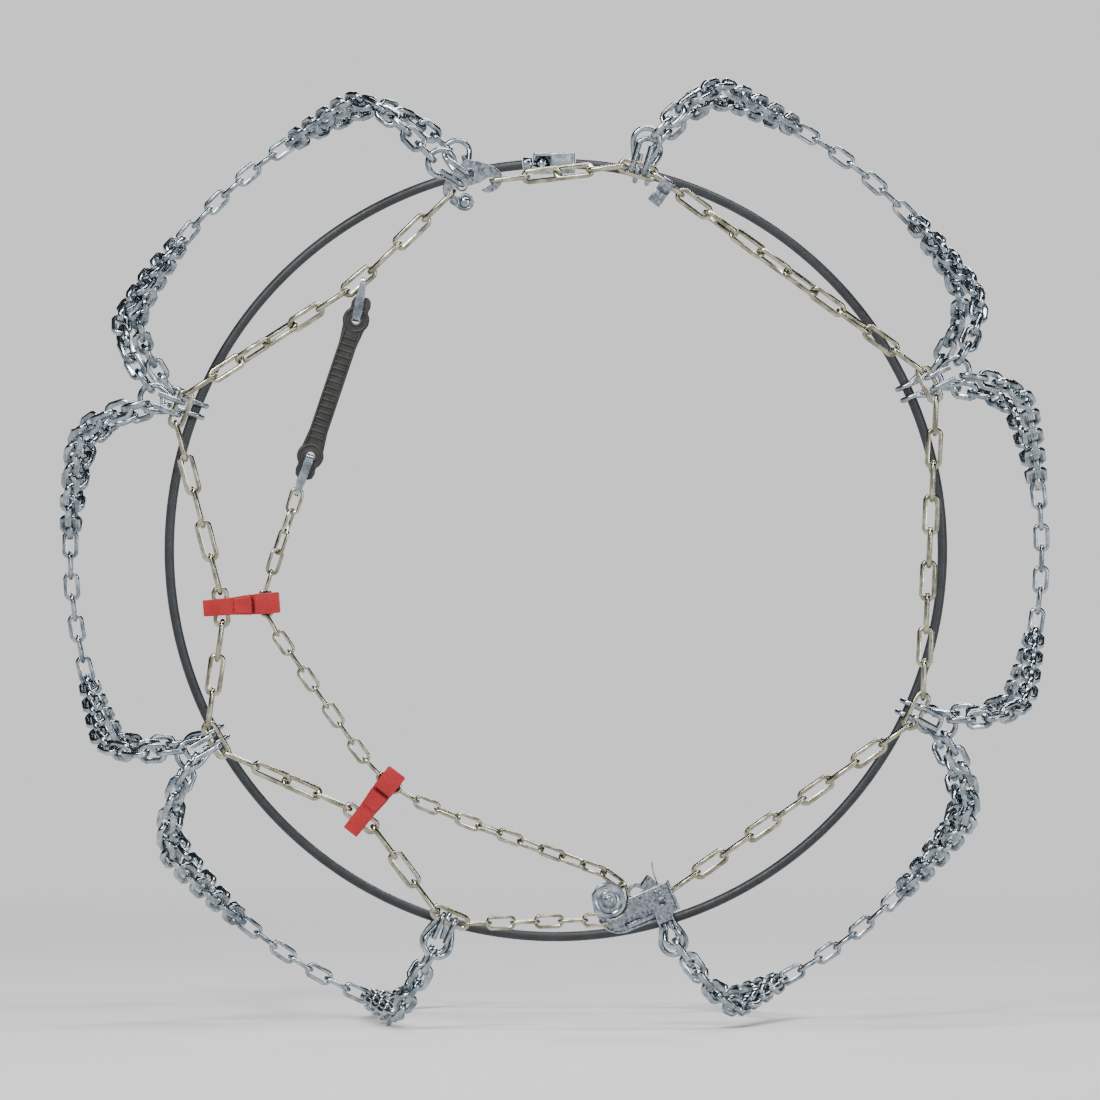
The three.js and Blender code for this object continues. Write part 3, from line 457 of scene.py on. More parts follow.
def in_ratchet(along, across):
    angle = math.radians(RATCHET_TILT)
    x = RATCHET[0] + along * math.cos(angle) - across * math.sin(angle)
    return x, RATCHET[1] + along * math.sin(angle) + across * math.cos(angle)


class Anchor:
    """A side-chain link that lies flat, centred on a bend."""

    def __init__(self, before, centre, after):
        self.centre = centre
        self.along = ((centre - before).normalized() + (after - centre).normalized()).normalized()
        half = SIDE_CHAIN["pitch"] / 2
        self.entry = centre - self.along * half
        self.exit = centre + self.along * half
        outer = Vector((-self.along.z, 0, self.along.x))
        flat = Vector((centre.x, 0, centre.z))
        self.outwards = outer if outer.dot(flat) > 0 else -outer
        self.to_bar = (SIDE_CHAIN["width"] - SIDE_CHAIN["wire"]) / 2

    def leaving(self, to):
        """The first joint of a chain whose end bar lies against this link's end."""
        hold = self.centre + self.along * (SIDE_CHAIN["pitch"] - SIDE_CHAIN["wire"]) / 2
        return hold + (to - hold).normalized() * SIDE_CHAIN["wire"] / 2

    def seat(self):
        bar = self.centre + self.outwards * self.to_bar
        return Seat(bar.x, bar.z, degrees_of(self.outwards.x, self.outwards.z), SHACKLE, SIDE_CHAIN["wire"])


class Seat:
    """Where a shackle wraps a bar, and the direction of its loop."""

    def __init__(self, x, z, degrees, form, bar):
        self.x, self.z, self.degrees, self.form, self.bar = x, z, degrees, form, bar

    def hooked(self, pull):
        """The place on the tyre where a tread chain hooks in the loop, pulled aside by a signed angle."""
        loop = math.radians(self.degrees)
        x = self.x + math.cos(loop) * self.form["loop_centre"]
        z = self.z + math.sin(loop) * self.form["loop_centre"]
        away = math.atan2(z, x) + math.radians(pull)
        reach = self.form["loop_radius"] - SHACKLE_WIRE / 2
        x += math.cos(away) * reach
        z += math.sin(away) * reach
        return degrees_of(x, z), over_at_radius(math.hypot(x, z))


def degrees_of(x, z):
    return math.degrees(math.atan2(z, x))


def anchors(start, places, end):
    line = [in_side_plane(p) for p in (start, *places, end)]
    return [Anchor(*line[i : i + 3]) for i in range(len(places))]


HOOK_NECK = (CLOSING_HOOK[0] - 12.6, CLOSING_HOOK[1] - 11.1)
HOOK_SEAT = (CLOSING_HOOK[0] + 17, CLOSING_HOOK[1] - 2.2)
RATCHET_FLANGE = in_ratchet(43, -11.4)
strap_link, station_8, upper_clip_link, station_7, lower_clip_link, station_6 = anchors(
    HOOK_NECK,
    (STRAP_LINK, STATION_8, UPPER_CLIP_LINK, STATION_7, LOWER_CLIP_LINK, STATION_6),
    (RATCHET[0], RATCHET[1] - CHAIN_ON_PULLEY),
)
station_4, station_3, station_2 = anchors(RATCHET_FLANGE, (STATION_4, STATION_3, STATION_2), HOOK_SEAT)

OUTER_SEATS = {
    1: Seat(CLOSING_HOOK[0] - 6.6, CLOSING_HOOK[1] + 0.8, 146, SHACKLE, 4),
    2: station_2.seat(),
    3: station_3.seat(),
    4: station_4.seat(),
    5: Seat(*in_ratchet(32, -32.1), RATCHET_TILT - 90, RATCHET_SHACKLE, 2.5),
    6: station_6.seat(),
    7: station_7.seat(),
    8: station_8.seat(),
}


def inner_seat(station):
    degrees = STATION_ANGLES[station]
    x = HOOP_RADIUS * math.cos(math.radians(degrees))
    z = HOOP_RADIUS * math.sin(math.radians(degrees))
    return Seat(x, z, degrees, SHACKLE, HOOP_CABLE + 0.8)


def on_tyre(degrees, over):
    """A point and a normal of the chain's surface, at a distance over the tyre's section from its middle."""
    past = abs(over) - TREAD_HALF_WIDTH
    turn = min(max(past / SHOULDER_RADIUS, 0), math.pi / 2)
    down = max(past - SHOULDER_LENGTH, 0)
    radius = TREAD_RADIUS - SHOULDER_RADIUS * (1 - math.cos(turn)) - down
    width = min(abs(over), TREAD_HALF_WIDTH) + SHOULDER_RADIUS * math.sin(turn)
    radial = Vector((math.cos(math.radians(degrees)), 0, math.sin(math.radians(degrees))))
    outer = Vector((0, -math.copysign(1, over), 0))
    return radial * radius + outer * width, radial * math.cos(turn) + outer * math.sin(turn)


def over_at_radius(radius):
    below = TREAD_RADIUS - SHOULDER_RADIUS - radius
    if below > 0:
        return TREAD_HALF_WIDTH + SHOULDER_LENGTH + below
    return TREAD_HALF_WIDTH + math.acos(1 - (TREAD_RADIUS - radius) / SHOULDER_RADIUS) * SHOULDER_RADIUS


def spaced(points, count):
    """Points at equal distances along a line of many short pieces, and the place of each along its length."""
    reached = [0.0]
    for before, after in zip(points, points[1:]):
        reached.append(reached[-1] + (after - before).length)
    result, places = [], []
    i = 0
    for step in range(count + 1):
        wanted = reached[-1] * step / count
        while i < len(points) - 2 and reached[i + 1] < wanted:
            i += 1
        share = (wanted - reached[i]) / (reached[i + 1] - reached[i])
        result.append(points[i].lerp(points[i + 1], share))
        places.append((i + share) / (len(points) - 1))
    return result, places


def length_of(points):
    return sum((after - before).length for before, after in zip(points, points[1:]))


def quarter_turns(count, first, last):
    """Rolls by steps as near to a quarter turn as the number of links allows."""
    if count == 1:
        return [first]
    half_turns = round((90 * (count - 1) - (last - first)) / 180)
    step = (180 * half_turns + last - first) / (count - 1)
    return [first + i * step for i in range(count)]


# ---------- chain links ----------


def link_mesh(size):
    """One unstretched link: a ring of wire whose outer half may be squared, lying in the X-Y plane."""
    bm = bmesh.new()
    half = size["wire"] / 2
    section = []
    for degrees in (0, 30, 60, 90, 150, 210, 270, 300, 330):
        out, up = math.cos(math.radians(degrees)), math.sin(math.radians(degrees))
        power = size["square"] if out > -0.1 else 2
        reach = half * (abs(out) ** power + abs(up) ** power) ** (-1 / power)
        section.append(bm.verts.new((size["width"] / 2 - half + out * reach, 0, up * reach)))
    section += [bm.edges.new(pair) for pair in zip(section, section[1:] + section[:1])]
    turn = 2 * math.pi
    bmesh.ops.spin(bm, geom=section, axis=(0, 0, 1), angle=turn, steps=RING_STATIONS, use_merge=True)
    half_step = math.pi / RING_STATIONS
    bmesh.ops.rotate(bm, verts=bm.verts, matrix=Matrix.Rotation(half_step, 3, "Z"))
    bmesh.ops.scale(bm, verts=bm.verts, vec=(1, 1 / math.cos(half_step), 1))
    return finished(bm)


def run(joints, normals, rolls, size):
    """The links between successive joints, each rolled from the surface's normal: 0 stands on edge."""
    link = link_mesh(size)
    bm = bmesh.new()
    for i, roll in enumerate(rolls):
        start, end = joints[i], joints[i + 1]
        along = (end - start).normalized()
        normal = normals[i] + normals[i + 1]
        across = (normal - along * normal.dot(along)).normalized()
        across.rotate(Quaternion(along, math.radians(roll)))
        axis = along.cross(across)
        turn = Matrix((along, across, axis)).transposed().to_4x4()
        first = len(bm.verts)
        bm.from_mesh(link)
        bm.verts.ensure_lookup_table()
        verts = bm.verts[first:]
        stretch = ((end - start).length - size["width"]) / 2 + size["wire"]
        for vert in verts:
            vert.co.x += math.copysign(stretch, vert.co.x)
        bmesh.ops.transform(bm, matrix=Matrix.Translation((start + end) / 2) @ turn, verts=verts)
    bpy.data.meshes.remove(link)
    return finished(bm)


def chain_on_tyre(start, end, size):
    """Joints, normals and rolls of a chain that is straight on the tyre's unrolled surface."""
    dense = 240

    def surface(t):
        return on_tyre(start[0] + (end[0] - start[0]) * t, start[1] + (end[1] - start[1]) * t)

    line = [surface(i / dense)[0] for i in range(dense + 1)]
    count = round(length_of(line) / size["pitch"])
    joints, places = spaced(line, count)
    return joints, [surface(t)[1] for t in places], quarter_turns(count, 0, 0)


def near_turn(degrees, wanted):
    return degrees + 360 * round((wanted - degrees) / 360)


def cross_chain(station, side, middle):
    """One cross chain, from the outer shackle over the tread to the inner one."""
    crossing = middle - side * FIELD_HALF_ANGLE
    half = TREAD_CHAIN["pitch"] / 2
    outer_degrees, outer_over = OUTER_SEATS[station].hooked(side * PULLS[station])
    inner_degrees, inner_over = inner_seat(station).hooked(side * PULLS[station])
    outer_hook = (near_turn(outer_degrees, crossing), outer_over)
    inner_hook = (near_turn(inner_degrees, crossing), -inner_over)
    outer = chain_on_tyre(outer_hook, (crossing, half), TREAD_CHAIN)
    inner = chain_on_tyre((crossing, -half), inner_hook, TREAD_CHAIN)
    rolls = [*outer[2], 90, *inner[2]]
    return run(outer[0] + inner[0], outer[1] + inner[1], rolls, TREAD_CHAIN)


def centre_chain(middle):
    in_link = TREAD_CHAIN["width"] / 2 - TREAD_CHAIN["wire"]
    reach = FIELD_HALF_ANGLE - math.degrees(in_link / TREAD_RADIUS)
    return run(*chain_on_tyre((middle - reach, 0), (middle + reach, 0), CENTRE_CHAIN), CENTRE_CHAIN)


def tread_net():
    for low, high, middle in FIELDS:
        both = merged([(cross_chain(low, 1, middle), Matrix()), (centre_chain(middle), Matrix())])
        piece(f"cross_chain_{low}_to_{high}", both, tread_zinc)
        other = cross_chain(high, -1, middle)
        piece(f"cross_chain_{high}_to_{low}", other, tread_zinc)


def side_run(node, stretches):
    """Stretches of plain side chain, most of them followed by an anchor link."""
    joints = [stretches[0][0]]
    rolls = []
    for start, end, anchor in stretches:
        count = round((end - start).length / SIDE_CHAIN["pitch"])
        joints += spaced([start, end], count)[0][1:]
        rolls += quarter_turns(count, 0, 0)
        if anchor:
            joints.append(anchor.exit)
            rolls.append(90)
    piece(node, run(joints, [OUTWARDS] * len(joints), rolls, SIDE_CHAIN), side_zinc)
    return joints


def side_chains():
    neck = in_side_plane(HOOK_NECK)
    seat = in_side_plane(HOOK_SEAT)
    flange = in_side_plane(RATCHET_FLANGE)
    to_strap = (neck, strap_link.entry, strap_link)
    side_run("side_chain_1_8", [to_strap, (strap_link.exit, station_8.entry, station_8)])
    for node, start, middle, end in (
        ("side_chain_8_7", station_8, upper_clip_link, station_7),
        ("side_chain_7_6", station_7, lower_clip_link, station_6),
    ):
        side_run(node, [(start.leaving(middle.entry), middle.entry, middle), (middle.exit, end.entry, end)])
    side_run("side_chain_5_4", [(flange, station_4.entry, station_4)])
    side_run("side_chain_4_3", [(station_4.leaving(station_3.entry), station_3.entry, station_3)])
    joints = side_run("side_chain_3_2", [(station_3.leaving(station_2.entry), station_2.entry, station_2)])
    side_run("side_chain_2_1", [(station_2.leaving(seat), seat, None)])
    return joints


# ---------- tension chain ----------


# From the side chain's link to the tension chain's link in one clip.
CLIP_REACH = 32.5


def clip_link(anchor):
    """The inward direction of a clip, and the two ends of the tension chain's link in it."""
    centre = anchor.centre - anchor.outwards * CLIP_REACH
    half = anchor.along * TENSION_CHAIN["pitch"] / 2
    return -anchor.outwards, centre + half, centre - half


def on_pulley(degrees):
    angle = math.radians(degrees)
    x = RATCHET[0] + math.cos(angle) * CHAIN_ON_PULLEY
    return in_side_plane((x, RATCHET[1] + math.sin(angle) * CHAIN_ON_PULLEY))


def tension_run(node, joints, rolls):
    piece(node, run(joints, [OUTWARDS] * len(joints), rolls, TENSION_CHAIN), side_zinc)


def between(*points):
    count = round(length_of(points) / TENSION_CHAIN["pitch"])
    return spaced(list(points), count)[0]


def tension_chain():
    _, lower_entry, lower_exit = clip_link(lower_clip_link)
    _, upper_entry, upper_exit = clip_link(upper_clip_link)
    to_pulley = between(station_6.exit, on_pulley(-90))
    way_back = [in_side_plane(p) for p in ((36, -232.4), (3, -220.1), (-63.3, -195.7), (-105, -178.4))]
    back = between(on_pulley(50), *way_back, lower_entry)
    rolls = quarter_turns(len(to_pulley) - 1, 0, 90)
    last = rolls[-1]
    rolls += [last + 55, last + 135, *quarter_turns(len(back), last + 225, last + 180)]
    tension_run("tension_chain_6_to_lower_clip", [*to_pulley, on_pulley(-20), *back, lower_exit], rolls)

    up_way = [in_side_plane(p) for p in ((-140.3, -147.5), (-156.8, -123.7), (-176.3, -95.7), (-202, -58))]
    up = between(lower_exit, *up_way, upper_entry)
    tension_run("tension_chain_between_clips", [*up, upper_exit], quarter_turns(len(up), 0, 90))

    strap_way = [in_side_plane(p) for p in ((-203.5, -12), (-198.6, 3.6), (-189, 31))]
    to_strap = between(upper_exit, *strap_way, in_side_plane(STRAP_FOOT_BAR))
    tension_run("tension_chain_to_strap", to_strap, quarter_turns(len(to_strap) - 1, 0, 90))


# ---------- shackles ----------


def shackle(seat, heel=0):
    """A wire shackle in its own frame: X across, Y towards its loop, the bar that it wraps at the origin."""
    form = seat.form
    off = seat.bar / 2 + 0.4 + SHACKLE_WIRE / 2
    spread = form["spread"]
    half = [(spread, form["tip"], off), (spread, form["tip"] * 0.4, off), (spread, 0.2 * off, off)]
    half += [(spread, off * math.cos(a) * -1, off * math.sin(a)) for a in (1.05, 0.52, 0, -0.52, -1.05)]
    half += [(spread, 0.2 * off, -off), (spread + 0.3, max(heel, 3), -off)]
    radius = form["loop_radius"]
    for turn in (-24, 6, 35, 63):
        angle = math.radians(turn)
        depth = -off * 0.35 if turn < 0 else 0
        half.append((radius * math.cos(angle), form["loop_centre"] + radius * math.sin(angle), depth))
    other = [(-x, y, z) for x, y, z in reversed(half)]
    return wire([*half, (0, form["loop_centre"] + radius, 0), *other], SHACKLE_WIRE, 4)


def shackles():
    flip = Matrix.Rotation(math.pi, 4, "Y")
    for station, seat in OUTER_SEATS.items():
        place = side_frame(seat.x, seat.z, seat.degrees - 90)
        shape = shackle(seat, 7 if station == 1 else 0)
        piece(f"outer_shackle_{station}", shape, tread_zinc, place=place)
    for station in STATION_ANGLES:
        seat = inner_seat(station)
        place = side_frame(seat.x, seat.z, seat.degrees - 90, SIDE_PLANE) @ flip
        piece(f"inner_shackle_{station}", shackle(seat), tread_zinc, place=place)


# ---------- closing hook ----------

RIVET = (-3.5, -17.8)


def closing_hook():
    outline = [
        (-6.3, 10.8), (-2, 13), (7.3, 11.4), (17.4, 7.9), (21.9, 4.7), (23.2, 1.8), (23.3, -2), (22.9, -4.7),
        (19.1, -9.1), (13.6, -11.4), (7.8, -9.7), (10.7, -6.8), (14.2, -4.9), (17.1, -3.6), (17.1, -0.6),
        (13.6, 0.5), (6.6, -4), (1.4, -5.6), (-1.4, -5.9), (-1.9, -8.6), (-4.2, -10.3), (-8.1, -9.9),
        (-10.9, -6.7), (-14, -9.5), (-11.2, -12.7), (-9.2, -14.2), (-6.6, -12.6), (-3.5, -11.9), (0.9, -13.6),
        (2.6, -17.8), (0.9, -22.2), (-3.5, -24), (-8, -22.2), (-9.8, -19.2), (-13.7, -16.5), (-17.8, -14.2),
        (-19.3, -11.9), (-19.8, -7.6), (-17.8, -2.5), (-13.5, 2.7), (-10.2, 6.8),
    ]
    holes = [circle(-0.2, 2.5, 3.1), circle(-5.9, -5.8, 3.1)]
    frame_here = side_frame(*CLOSING_HOOK)
    parts = [(plate([filleted(outline, 6), *holes], -1.6, 0.6, 0.35), Matrix())]
    ring = [(3.1, 0.4), (3.1, 0.7), (3.3, 0.95), (3.7, 0.95), (4, 0.7), (4.1, 0.4)]
    parts += [(turned(ring, 32), Matrix.Translation((*place, 0))) for place in ((-0.2, 2.5), (-5.9, -5.8))]
    piece("hook_plate", merged(parts), sheet_zinc, place=frame_here)

    keeper = [
        (-14.2, -18.6), (-14.8, -16.6), (-13.2, -15), (-8.5, -13.4), (-5.8, -11.4), (-2.3, -11.1),
        (1.7, -13.4), (3.3, -17.8), (1.7, -22.2), (-2.3, -24.5), (-6.9, -23.7),
    ]
    shape = plate([filleted(keeper, 5), circle(*RIVET, 2.7)], 0.9, 2.2, 0.3)
    piece("keeper_plate", shape, sheet_zinc, "keeper", frame_here)

    profile = [(0, -3.3), (3.6, -3.3), (4, -2.9), (4, -1.9), (2.4, -1.9), (2.4, 2.5), (5.2, 2.5), (5.4, 2.75)]
    profile += [(5.4, 3.2), (5.1, 3.5), (4.7, 3.5), (4.4, 3.2), (4.2, 3.1), (3.9, 3.3)]
    profile += [(3.8 * math.cos(a), 3.3 + 2.1 * math.sin(a)) for a in (0.25, 0.5, 0.8, 1.1, 1.35)]
    profile.append((0, 5.4))
    place = side_frame(CLOSING_HOOK[0] + RIVET[0], CLOSING_HOOK[1] + RIVET[1])
    piece("dome_rivet", turned(profile), tread_zinc, place=place)


# ---------- ratchet ----------

PAWL_PIVOT = (33.7, -8.7)


def ratchet():
    here = side_frame(*RATCHET, RATCHET_TILT)
    ratchet_housing(here)
    pulley_looks(here)
    pawl_looks(here)


def ratchet_housing(here):
    front = [
        (13.2, -3.6), (43, -3.4), (43, -25.3), (39, -25.5), (38, -27.5), (38, -30), (25.9, -30),
        (26.7, -18.1), (24.1, -16.1), (-3, -15.9), (-9.6, -13.6), (-7, -11.6), (-4.2, -12.6),
        (-1.2, -13.4), (1.8, -13.3), (4.5, -12.6), (7.1, -11.3), (9.3, -9.6), (11.3, -7.2),
    ]
    back = [
        (13.2, -3.6), (43, -3.4), (43, -25.3), (2, -25.3), (-4.5, -23.2), (-9.2, -18.6), (-11.8, -13),
        (-13.3, -3), (-10.5, 8.2), (-3, 13), (5, 12.3), (11, 7.3),
    ]
    pin_hole = circle(*PAWL_PIVOT, 1.9)
    front_plate = plate([filleted(front, 1.2), pin_hole, circle(34.7, -15.4, 2.1)], 6.4, 8.1, 0.7)
    back_plate = plate([filleted(back, 4), pin_hole, circle(0, 0, 2.3)], -8, -6.5, 0.5)
    collar = turned([(2.1, 7.7), (2.1, 8.7), (2.5, 9), (3, 8.8), (3.3, 7.9), (3.3, 7.7)], 32)
    lip_line = [(-12.2, -11), (-9.6, -18.8), (-4.8, -23.6), (2, -25.8), (26, -25.8)]
    lip = folded_strip(lip_line, 1.9, 3.2, 8, 0.8)
    flange_parts = [
        block(43, 45, -25.2, -13.8, -8, 9.5, 0.35),
        block(43, 45, -9, -3.2, -8, 9.5, 0.35),
        block(43, 45, -14, -8.8, -2.2, 2.2, 0.3),
        block(43, 45, -14, -8.8, 6.7, 9.5, 0.35),
        block(43, 45, -14, -8.8, -8, -6.7, 0.35),
    ]
    parts = [(front_plate, Matrix()), (back_plate, Matrix()), (collar, Matrix.Translation((34.7, -15.4, 0)))]
    parts += [(part, Matrix()) for part in flange_parts]
    parts.append((lip, Matrix.Translation((0, 0, -6.75))))
    roll = wire([(x, -22.7, -6.4) for x in (3.5, 14, 25)], 5, 2, sides=6)
    parts.append((roll, Matrix()))
    parts.append((block(25.9, 38, -33.3, -30.9, -1.25, 1.25, 0.35), Matrix()))
    parts += [(block(x, x + 1, -33.3, -25, -1.25, 8, 0.3), Matrix()) for x in (25.9, 37)]
    piece("ratchet_housing", merged(parts), sheet_zinc, place=here)


def pulley_looks(here):
    profile = [
        (2.4, -6.2), (12, -6.2), (12.5, -5.9), (12.4, -5.4), (11.8, -5.2), (6.4, -4.9), (6, -4.4), (6, 4.4),
        (6.4, 4.9), (11.8, 5.2), (12.4, 5.4), (12.5, 5.9), (12, 6.2), (9.6, 6.25), (9.2, 5.8), (6.8, 5.7),
        (6.3, 6.15), (5.7, 6.2), (5.3, 5.5), (3.9, 5.4), (3.6, 6.1), (2.4, 6.2), (2.4, -6.2),
    ]
    bosses = [(turned([(0, 6.9), (0.9, 6.8), (1.2, 6.4), (1.2, 5)], 20), Matrix.Translation((x, y, 0)))
              for x, y in ((-1.1, -7.2), (1.1, 7.2))]
    shape = merged([(turned(profile, 64), Matrix()), *bosses])
    piece("pulley", shape, tread_zinc, "pulley", here)
    pin = [(0, -9.2), (2.9, -9.2), (3.2, -8.9), (3.2, -8.3), (2, -8.3), (2, 6.5), (3, 6.5), (3.1, 6.8),
           (2.6, 7.3), (1.4, 7.4), (1.1, 6.9), (0, 6.8)]
    piece("pulley_pin", turned(pin, 32), tread_zinc, place=here)


def pawl_looks(here):
    cheek = [
        (13.4, -2.9), (14.6, 1.2), (17.5, 3.6), (21.9, 4.1), (25, 2.2), (32.6, 6.6), (36.8, -3), (37.3, -8.5),
        (36, -12), (31.4, -12), (27.5, -6), (25.5, -2.6), (22, 1.2), (19.5, 1.6), (16.8, 0.2), (15.4, -2.9),
    ]
    bridge = [(24.6, 1.6), (32.2, 6.6), (32.9, 5.4), (25.3, 0.6)]
    pin_hole = circle(*PAWL_PIVOT, 1.9)
    parts = [
        (plate([filleted(cheek, 2), pin_hole], 5.3, 6.2, 0.2), Matrix()),
        (plate([filleted(cheek, 2), pin_hole], -6.2, -5.3, 0.2), Matrix()),
        (plate([filleted(bridge, 0.4)], -6.2, 6.2, 0.2), Matrix()),
    ]
    piece("pawl", merged(parts), sheet_zinc, "pawl", here)
    pivot = here @ Matrix.Translation((*PAWL_PIVOT, 0))
    pin = [(0, -9.2), (2.6, -9.2), (2.9, -8.9), (2.9, -8.3), (1.6, -8.3), (1.6, 8.3), (2.9, 8.3), (2.9, 8.7),
           (2.5, 9.1), (1.2, 9.2), (0.9, 8.8), (0, 8.7)]
    piece("pawl_pin", turned(pin, 32), tread_zinc, place=pivot)
    line = [(5.2, 22, 0), (4.4, 19, 0), (3.6, 16, 0), (3.1, 10, -0.5), (2.75, 4, -1.2)]
    for step in range(18):
        angle = -step * math.pi / 4
        line.append((2.7 * math.cos(angle), 2.7 * math.sin(angle), -1.6 + step * 0.19))
    line += [(-2.9, -3.1, 1.7), (-6, -4.3, 1.8), (-9, -5.4, 1.8)]
    piece("pawl_spring", wire(line, 1, 4), tread_zinc, "pawl", pivot)


# ---------- clips, strap and drop tab ----------


def clip(node, anchor):
    """A moulded clip: a tapered shell over the side chain's link and a block over the tension chain's."""
    direction, _, _ = clip_link(anchor)
    cover = [(-12.7, -5.9), (8.6, -6.3), (22.4, -7.5), (22.4, 7.5), (8.6, 6.3), (-12.7, 5.9)]
    pad = [(9.4, -5.2), (22, -6.4), (22, 6.4), (9.4, 5.2)]
    closed_end = [(-12.5, -5.7), (-6.7, -5.8), (-6.7, 5.8), (-12.5, 5.7)]
    closed_side = [(6.7, -6), (8.6, -6.1), (22.2, -7.3), (22.2, 7.3), (8.6, 6.1), (6.7, 6)]
    outlines = [
        (cover, 2.3, 5), (cover, -5, -2.3), (pad, 4.4, 5.6), (closed_end, -4.8, 4.8),
        (closed_side, -4.8, 4.8),
    ]
    parts = [plate([filleted(outline, 0.9)], low, high, 0.5) for outline, low, high in outlines]
    parts += [
        block(8.2, 9.1, -5.9, 5.9, 4.6, 5.7, 0.3),
        block(21, 26, -7.2, 7.2, -4, -1.2, 0.4),
        block(24.4, 26.7, -7.4, 7.4, -6.8, 6.8, 0.7),
        block(38.3, 42.3, -7.4, 7.4, -6.8, 6.8, 1),
        block(25, 41.7, -7.5, 7.5, 5.8, 6.9, 0.4),
        block(25, 41.7, -7.5, 7.5, -6.9, -5.8, 0.4),
    ]
    place = side_frame(anchor.centre.x, anchor.centre.z, degrees_of(direction.x, direction.z))
    piece(node, merged([(part, Matrix()) for part in parts]), red_nylon, place=place)


STRAP_TOP = (-143.9, 165.5)
STRAP_FOOT = (-176.8, 67.6)
STRAP_FOOT_BAR = (-185.8, 42.6)


def strip_hook(node, bar, eyelet, crest):
    """A hook of flat strip: its narrow crest goes round a bar, its foot through the strap's eyelet."""
    reach = math.hypot(eyelet[0] - bar[0], eyelet[1] - bar[1])
    line = [
        (3.4, -3.4), (2.5 - crest, -3.4), (-crest, -1.5), (-crest, 1.5), (2.5 - crest, 3.4), (2, 3.4),
        (4.5, 3.4), (7, 3.45), (reach - 5, 3.5), (reach - 1.2, 3.2), (reach + 0.5, 1.3),
        (reach + 0.5, -1.3), (reach - 1.2, -3.4), (reach - 7, -3.8),
    ]
    shape = folded_strip(line, 1.5, 3.6, 2.5, 0.2)
    for vert in shape.vertices:
        past_crest = min(max((vert.co.x - 1.5) / 4, 0), 1)
        before_eyelet = min(max((reach - 1 - vert.co.x) / 4, 0), 1)
        vert.co.z *= 1 + past_crest * (0.5 + 0.28 * before_eyelet)
    shape.transform(Matrix.Rotation(math.pi / 2, 4, "X"))
    place = side_frame(*bar, degrees_of(eyelet[0] - bar[0], eyelet[1] - bar[1]))
    piece(node, shape, tread_zinc, "strap", place)


def strap_outline(length, end, waist):
    """Half of the strap's outline: a pull tab, the round end of an eyelet, and the waist."""
    tab = [(-17.6, -2.5), (-17.2, 0), (-17.6, 3.6), (-15.4, 6.2), (-11.5, 7.2), (-8.2, 6.7)]
    ring = [(end * math.cos(a), end * math.sin(a)) for a in (math.radians(135 - i * 13) for i in range(7))]
    upper = [*tab, *ring, (15, waist + 0.5), (21, waist)]
    lower = [(x, -y) for x, y in reversed([*tab[3:], *ring, (15, waist + 0.5), (21, waist)])]
    foot = [(length - x, -y) for x, y in upper]
    foot_lower = [(length - x, -y) for x, y in lower]
    return [*upper, *foot_lower, *foot, *lower]


def rubber_strap():
    """A rubber strap with an eyelet and a pull tab at each end, and ribs between its two rims."""
    length, end, waist = 103.3, 9.7, 6.5
    outline = [Vector(p) for p in strap_outline(length, end, waist)]
    eyelets = [circle(0, 0, 3.1), circle(length, 0, 3.1)]
    parts = [(plate([outline, *eyelets], -2.1, 1.4, 0.6), Matrix())]
    for x in (0, length):
        collar = turned([(3.2, 0.8), (3.2, 2), (3.5, 2.3), (4.6, 2.3), (5, 2), (5.2, 1.3), (6.9, 1.2)], 40)
        outer = turned([(7.1, 1), (7.2, 1.9), (7.6, 2.2), (8.6, 2.2), (9.1, 1.9), (9.3, 1)], 40)
        parts += [(ring, Matrix.Translation((x, 0, 0))) for ring in (collar, outer)]
    for side in (-1, 1):
        edges = sorted((side * (waist - 1.5), side * (waist + 0.1)))
        parts.append((block(8.4, length - 8.4, *edges, -1.6, 2.8, 0.6), Matrix()))
    for i in range(17):
        x = 14 + i * (length - 28) / 16
        parts.append((block(x - 0.9, x + 0.9, 1 - waist, waist - 1, 0.6, 2.4, 0.6), Matrix()))
    degrees = degrees_of(STRAP_FOOT[0] - STRAP_TOP[0], STRAP_FOOT[1] - STRAP_TOP[1])
    place = side_frame(*STRAP_TOP, degrees)
    piece("rubber_strap", merged(parts), black_rubber, "strap", place)


def drop_tab(joints):
    """A folded strip over one link of the side chain; its two ends meet in a tab."""
    start, end = joints[-3], joints[-2]
    along = (end - start).normalized()
    inwards = Vector((-along.z, 0, along.x))
    if inwards.dot(start) > 0:
        inwards.negate()
    line = [(17, 1.1), (7, 1.3), (3.4, 7.3), (-2.9, 7.3), (-2.9, -7.3), (3.4, -7.3), (7, -1.3), (17, -1.1)]
    turn = Matrix((inwards, OUTWARDS, inwards.cross(OUTWARDS))).transposed().to_4x4()
    place = Matrix.Translation((start + end) / 2) @ turn
    beads = [block(6.9, 16.6, 1, 2.3, side * 2.9 - 1.9, side * 2.9 + 1.9, 0.5) for side in (-1, 1)]
    shape = merged([(folded_strip(line, 1.3, 10, 1.6), Matrix()), *[(bead, Matrix()) for bead in beads]])
    piece("drop_tab", shape, sheet_zinc, "tab", place)


# ---------- inner hoop ----------


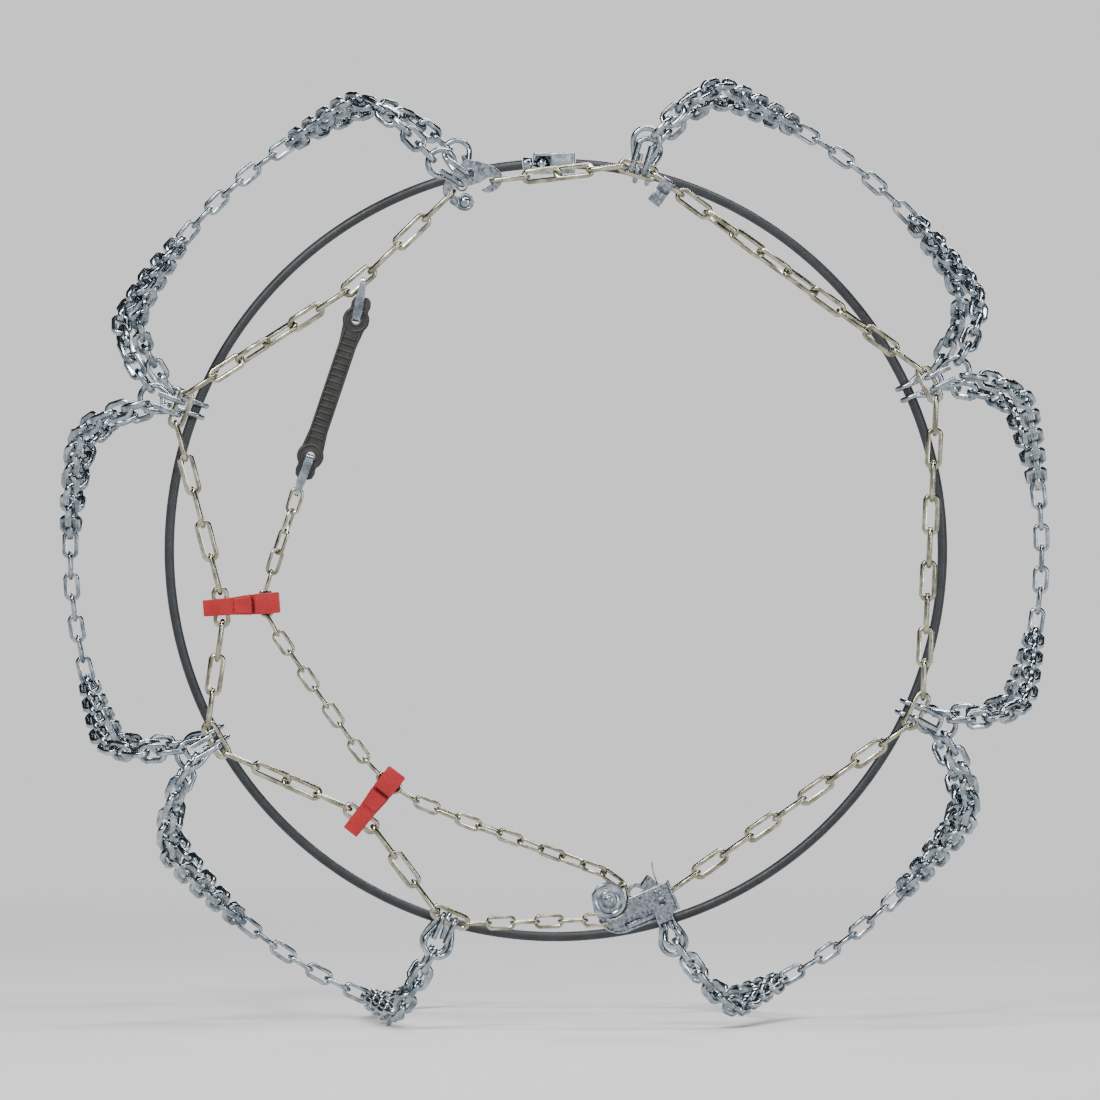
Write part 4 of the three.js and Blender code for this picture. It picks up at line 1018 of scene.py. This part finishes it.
def inner_hoop():
    """The sheathed cable, open at the top, where its ball end sits in the socket."""
    gap = 20 / HOOP_RADIUS
    top = math.radians(91)
    steps = 96
    angles = [top + gap + (2 * math.pi - 2 * gap) * i / steps for i in range(steps + 1)]
    line = [(HOOP_RADIUS * math.cos(a), SIDE_PLANE, HOOP_RADIUS * math.sin(a)) for a in angles]
    piece("hoop_cable", wire(line, HOOP_CABLE - 0.4, 3), cable_sheath)

    here = side_frame(HOOP_RADIUS * math.cos(top), HOOP_RADIUS * math.sin(top), 1, SIDE_PLANE)
    ball = [(0, 0)] + [(5 * math.sin(a), 5 - 5 * math.cos(a)) for a in (i * 0.26 for i in range(1, 11))]
    ball += [(1.8, 9.9), (1.8, 12.6), (4.6, 13), (5.2, 13.6), (5.2, 18.6), (4.6, 19.5), (0, 19.5)]
    lying = here @ Matrix.Rotation(-math.pi / 2, 4, "Y")
    piece("hoop_ball_end", turned(ball, 32), tread_zinc, place=lying)
    parts = [
        block(-19.5, -0.6, -8, 8, -8, 8, 1.6),
        block(-2, 12, 5.4, 8, -8, 8, 0.7),
        block(-2, 12, -8, -5.4, -8, 8, 0.7),
        block(-2, 12, -8, 8, -8, -5.4, 0.7),
        block(10.2, 12, 2.2, 8, -8, 8, 0.6),
        block(10.2, 12, -8, -2.2, -8, 8, 0.6),
        block(10.2, 12, -8, 8, -8, -2.2, 0.6),
    ]
    place = here @ Matrix.Rotation(math.pi, 4, "Z")
    socket = merged([(part, Matrix()) for part in parts])
    piece("hoop_socket", socket, tread_zinc, place=place)


def studio_floor():
    """A pale round floor under the lowest point."""
    bm = bmesh.new()
    bmesh.ops.create_circle(bm, cap_ends=True, radius=FLOOR_RADIUS, segments=96)
    bmesh.ops.translate(bm, vec=(0, 0, cad_bounds[0].z), verts=bm.verts)
    floor = bpy.data.objects.new("studio_floor", finished(bm))
    floor.data.materials.append(floor_paint)
    bpy.context.collection.objects.link(floor)


make_camera()
make_light()
make_room()
closing_hook()
drop_tab(side_chains())
ratchet()
tension_chain()
clip("upper_clip", upper_clip_link)
clip("lower_clip", lower_clip_link)
top_bar = strap_link.centre - strap_link.outwards * strap_link.to_bar
strip_hook("upper_strap_hook", (top_bar.x, top_bar.z), STRAP_TOP, 5.4)
strip_hook("lower_strap_hook", STRAP_FOOT_BAR, STRAP_FOOT, 3.3)
rubber_strap()
shackles()
tread_net()
inner_hoop()
studio_floor()
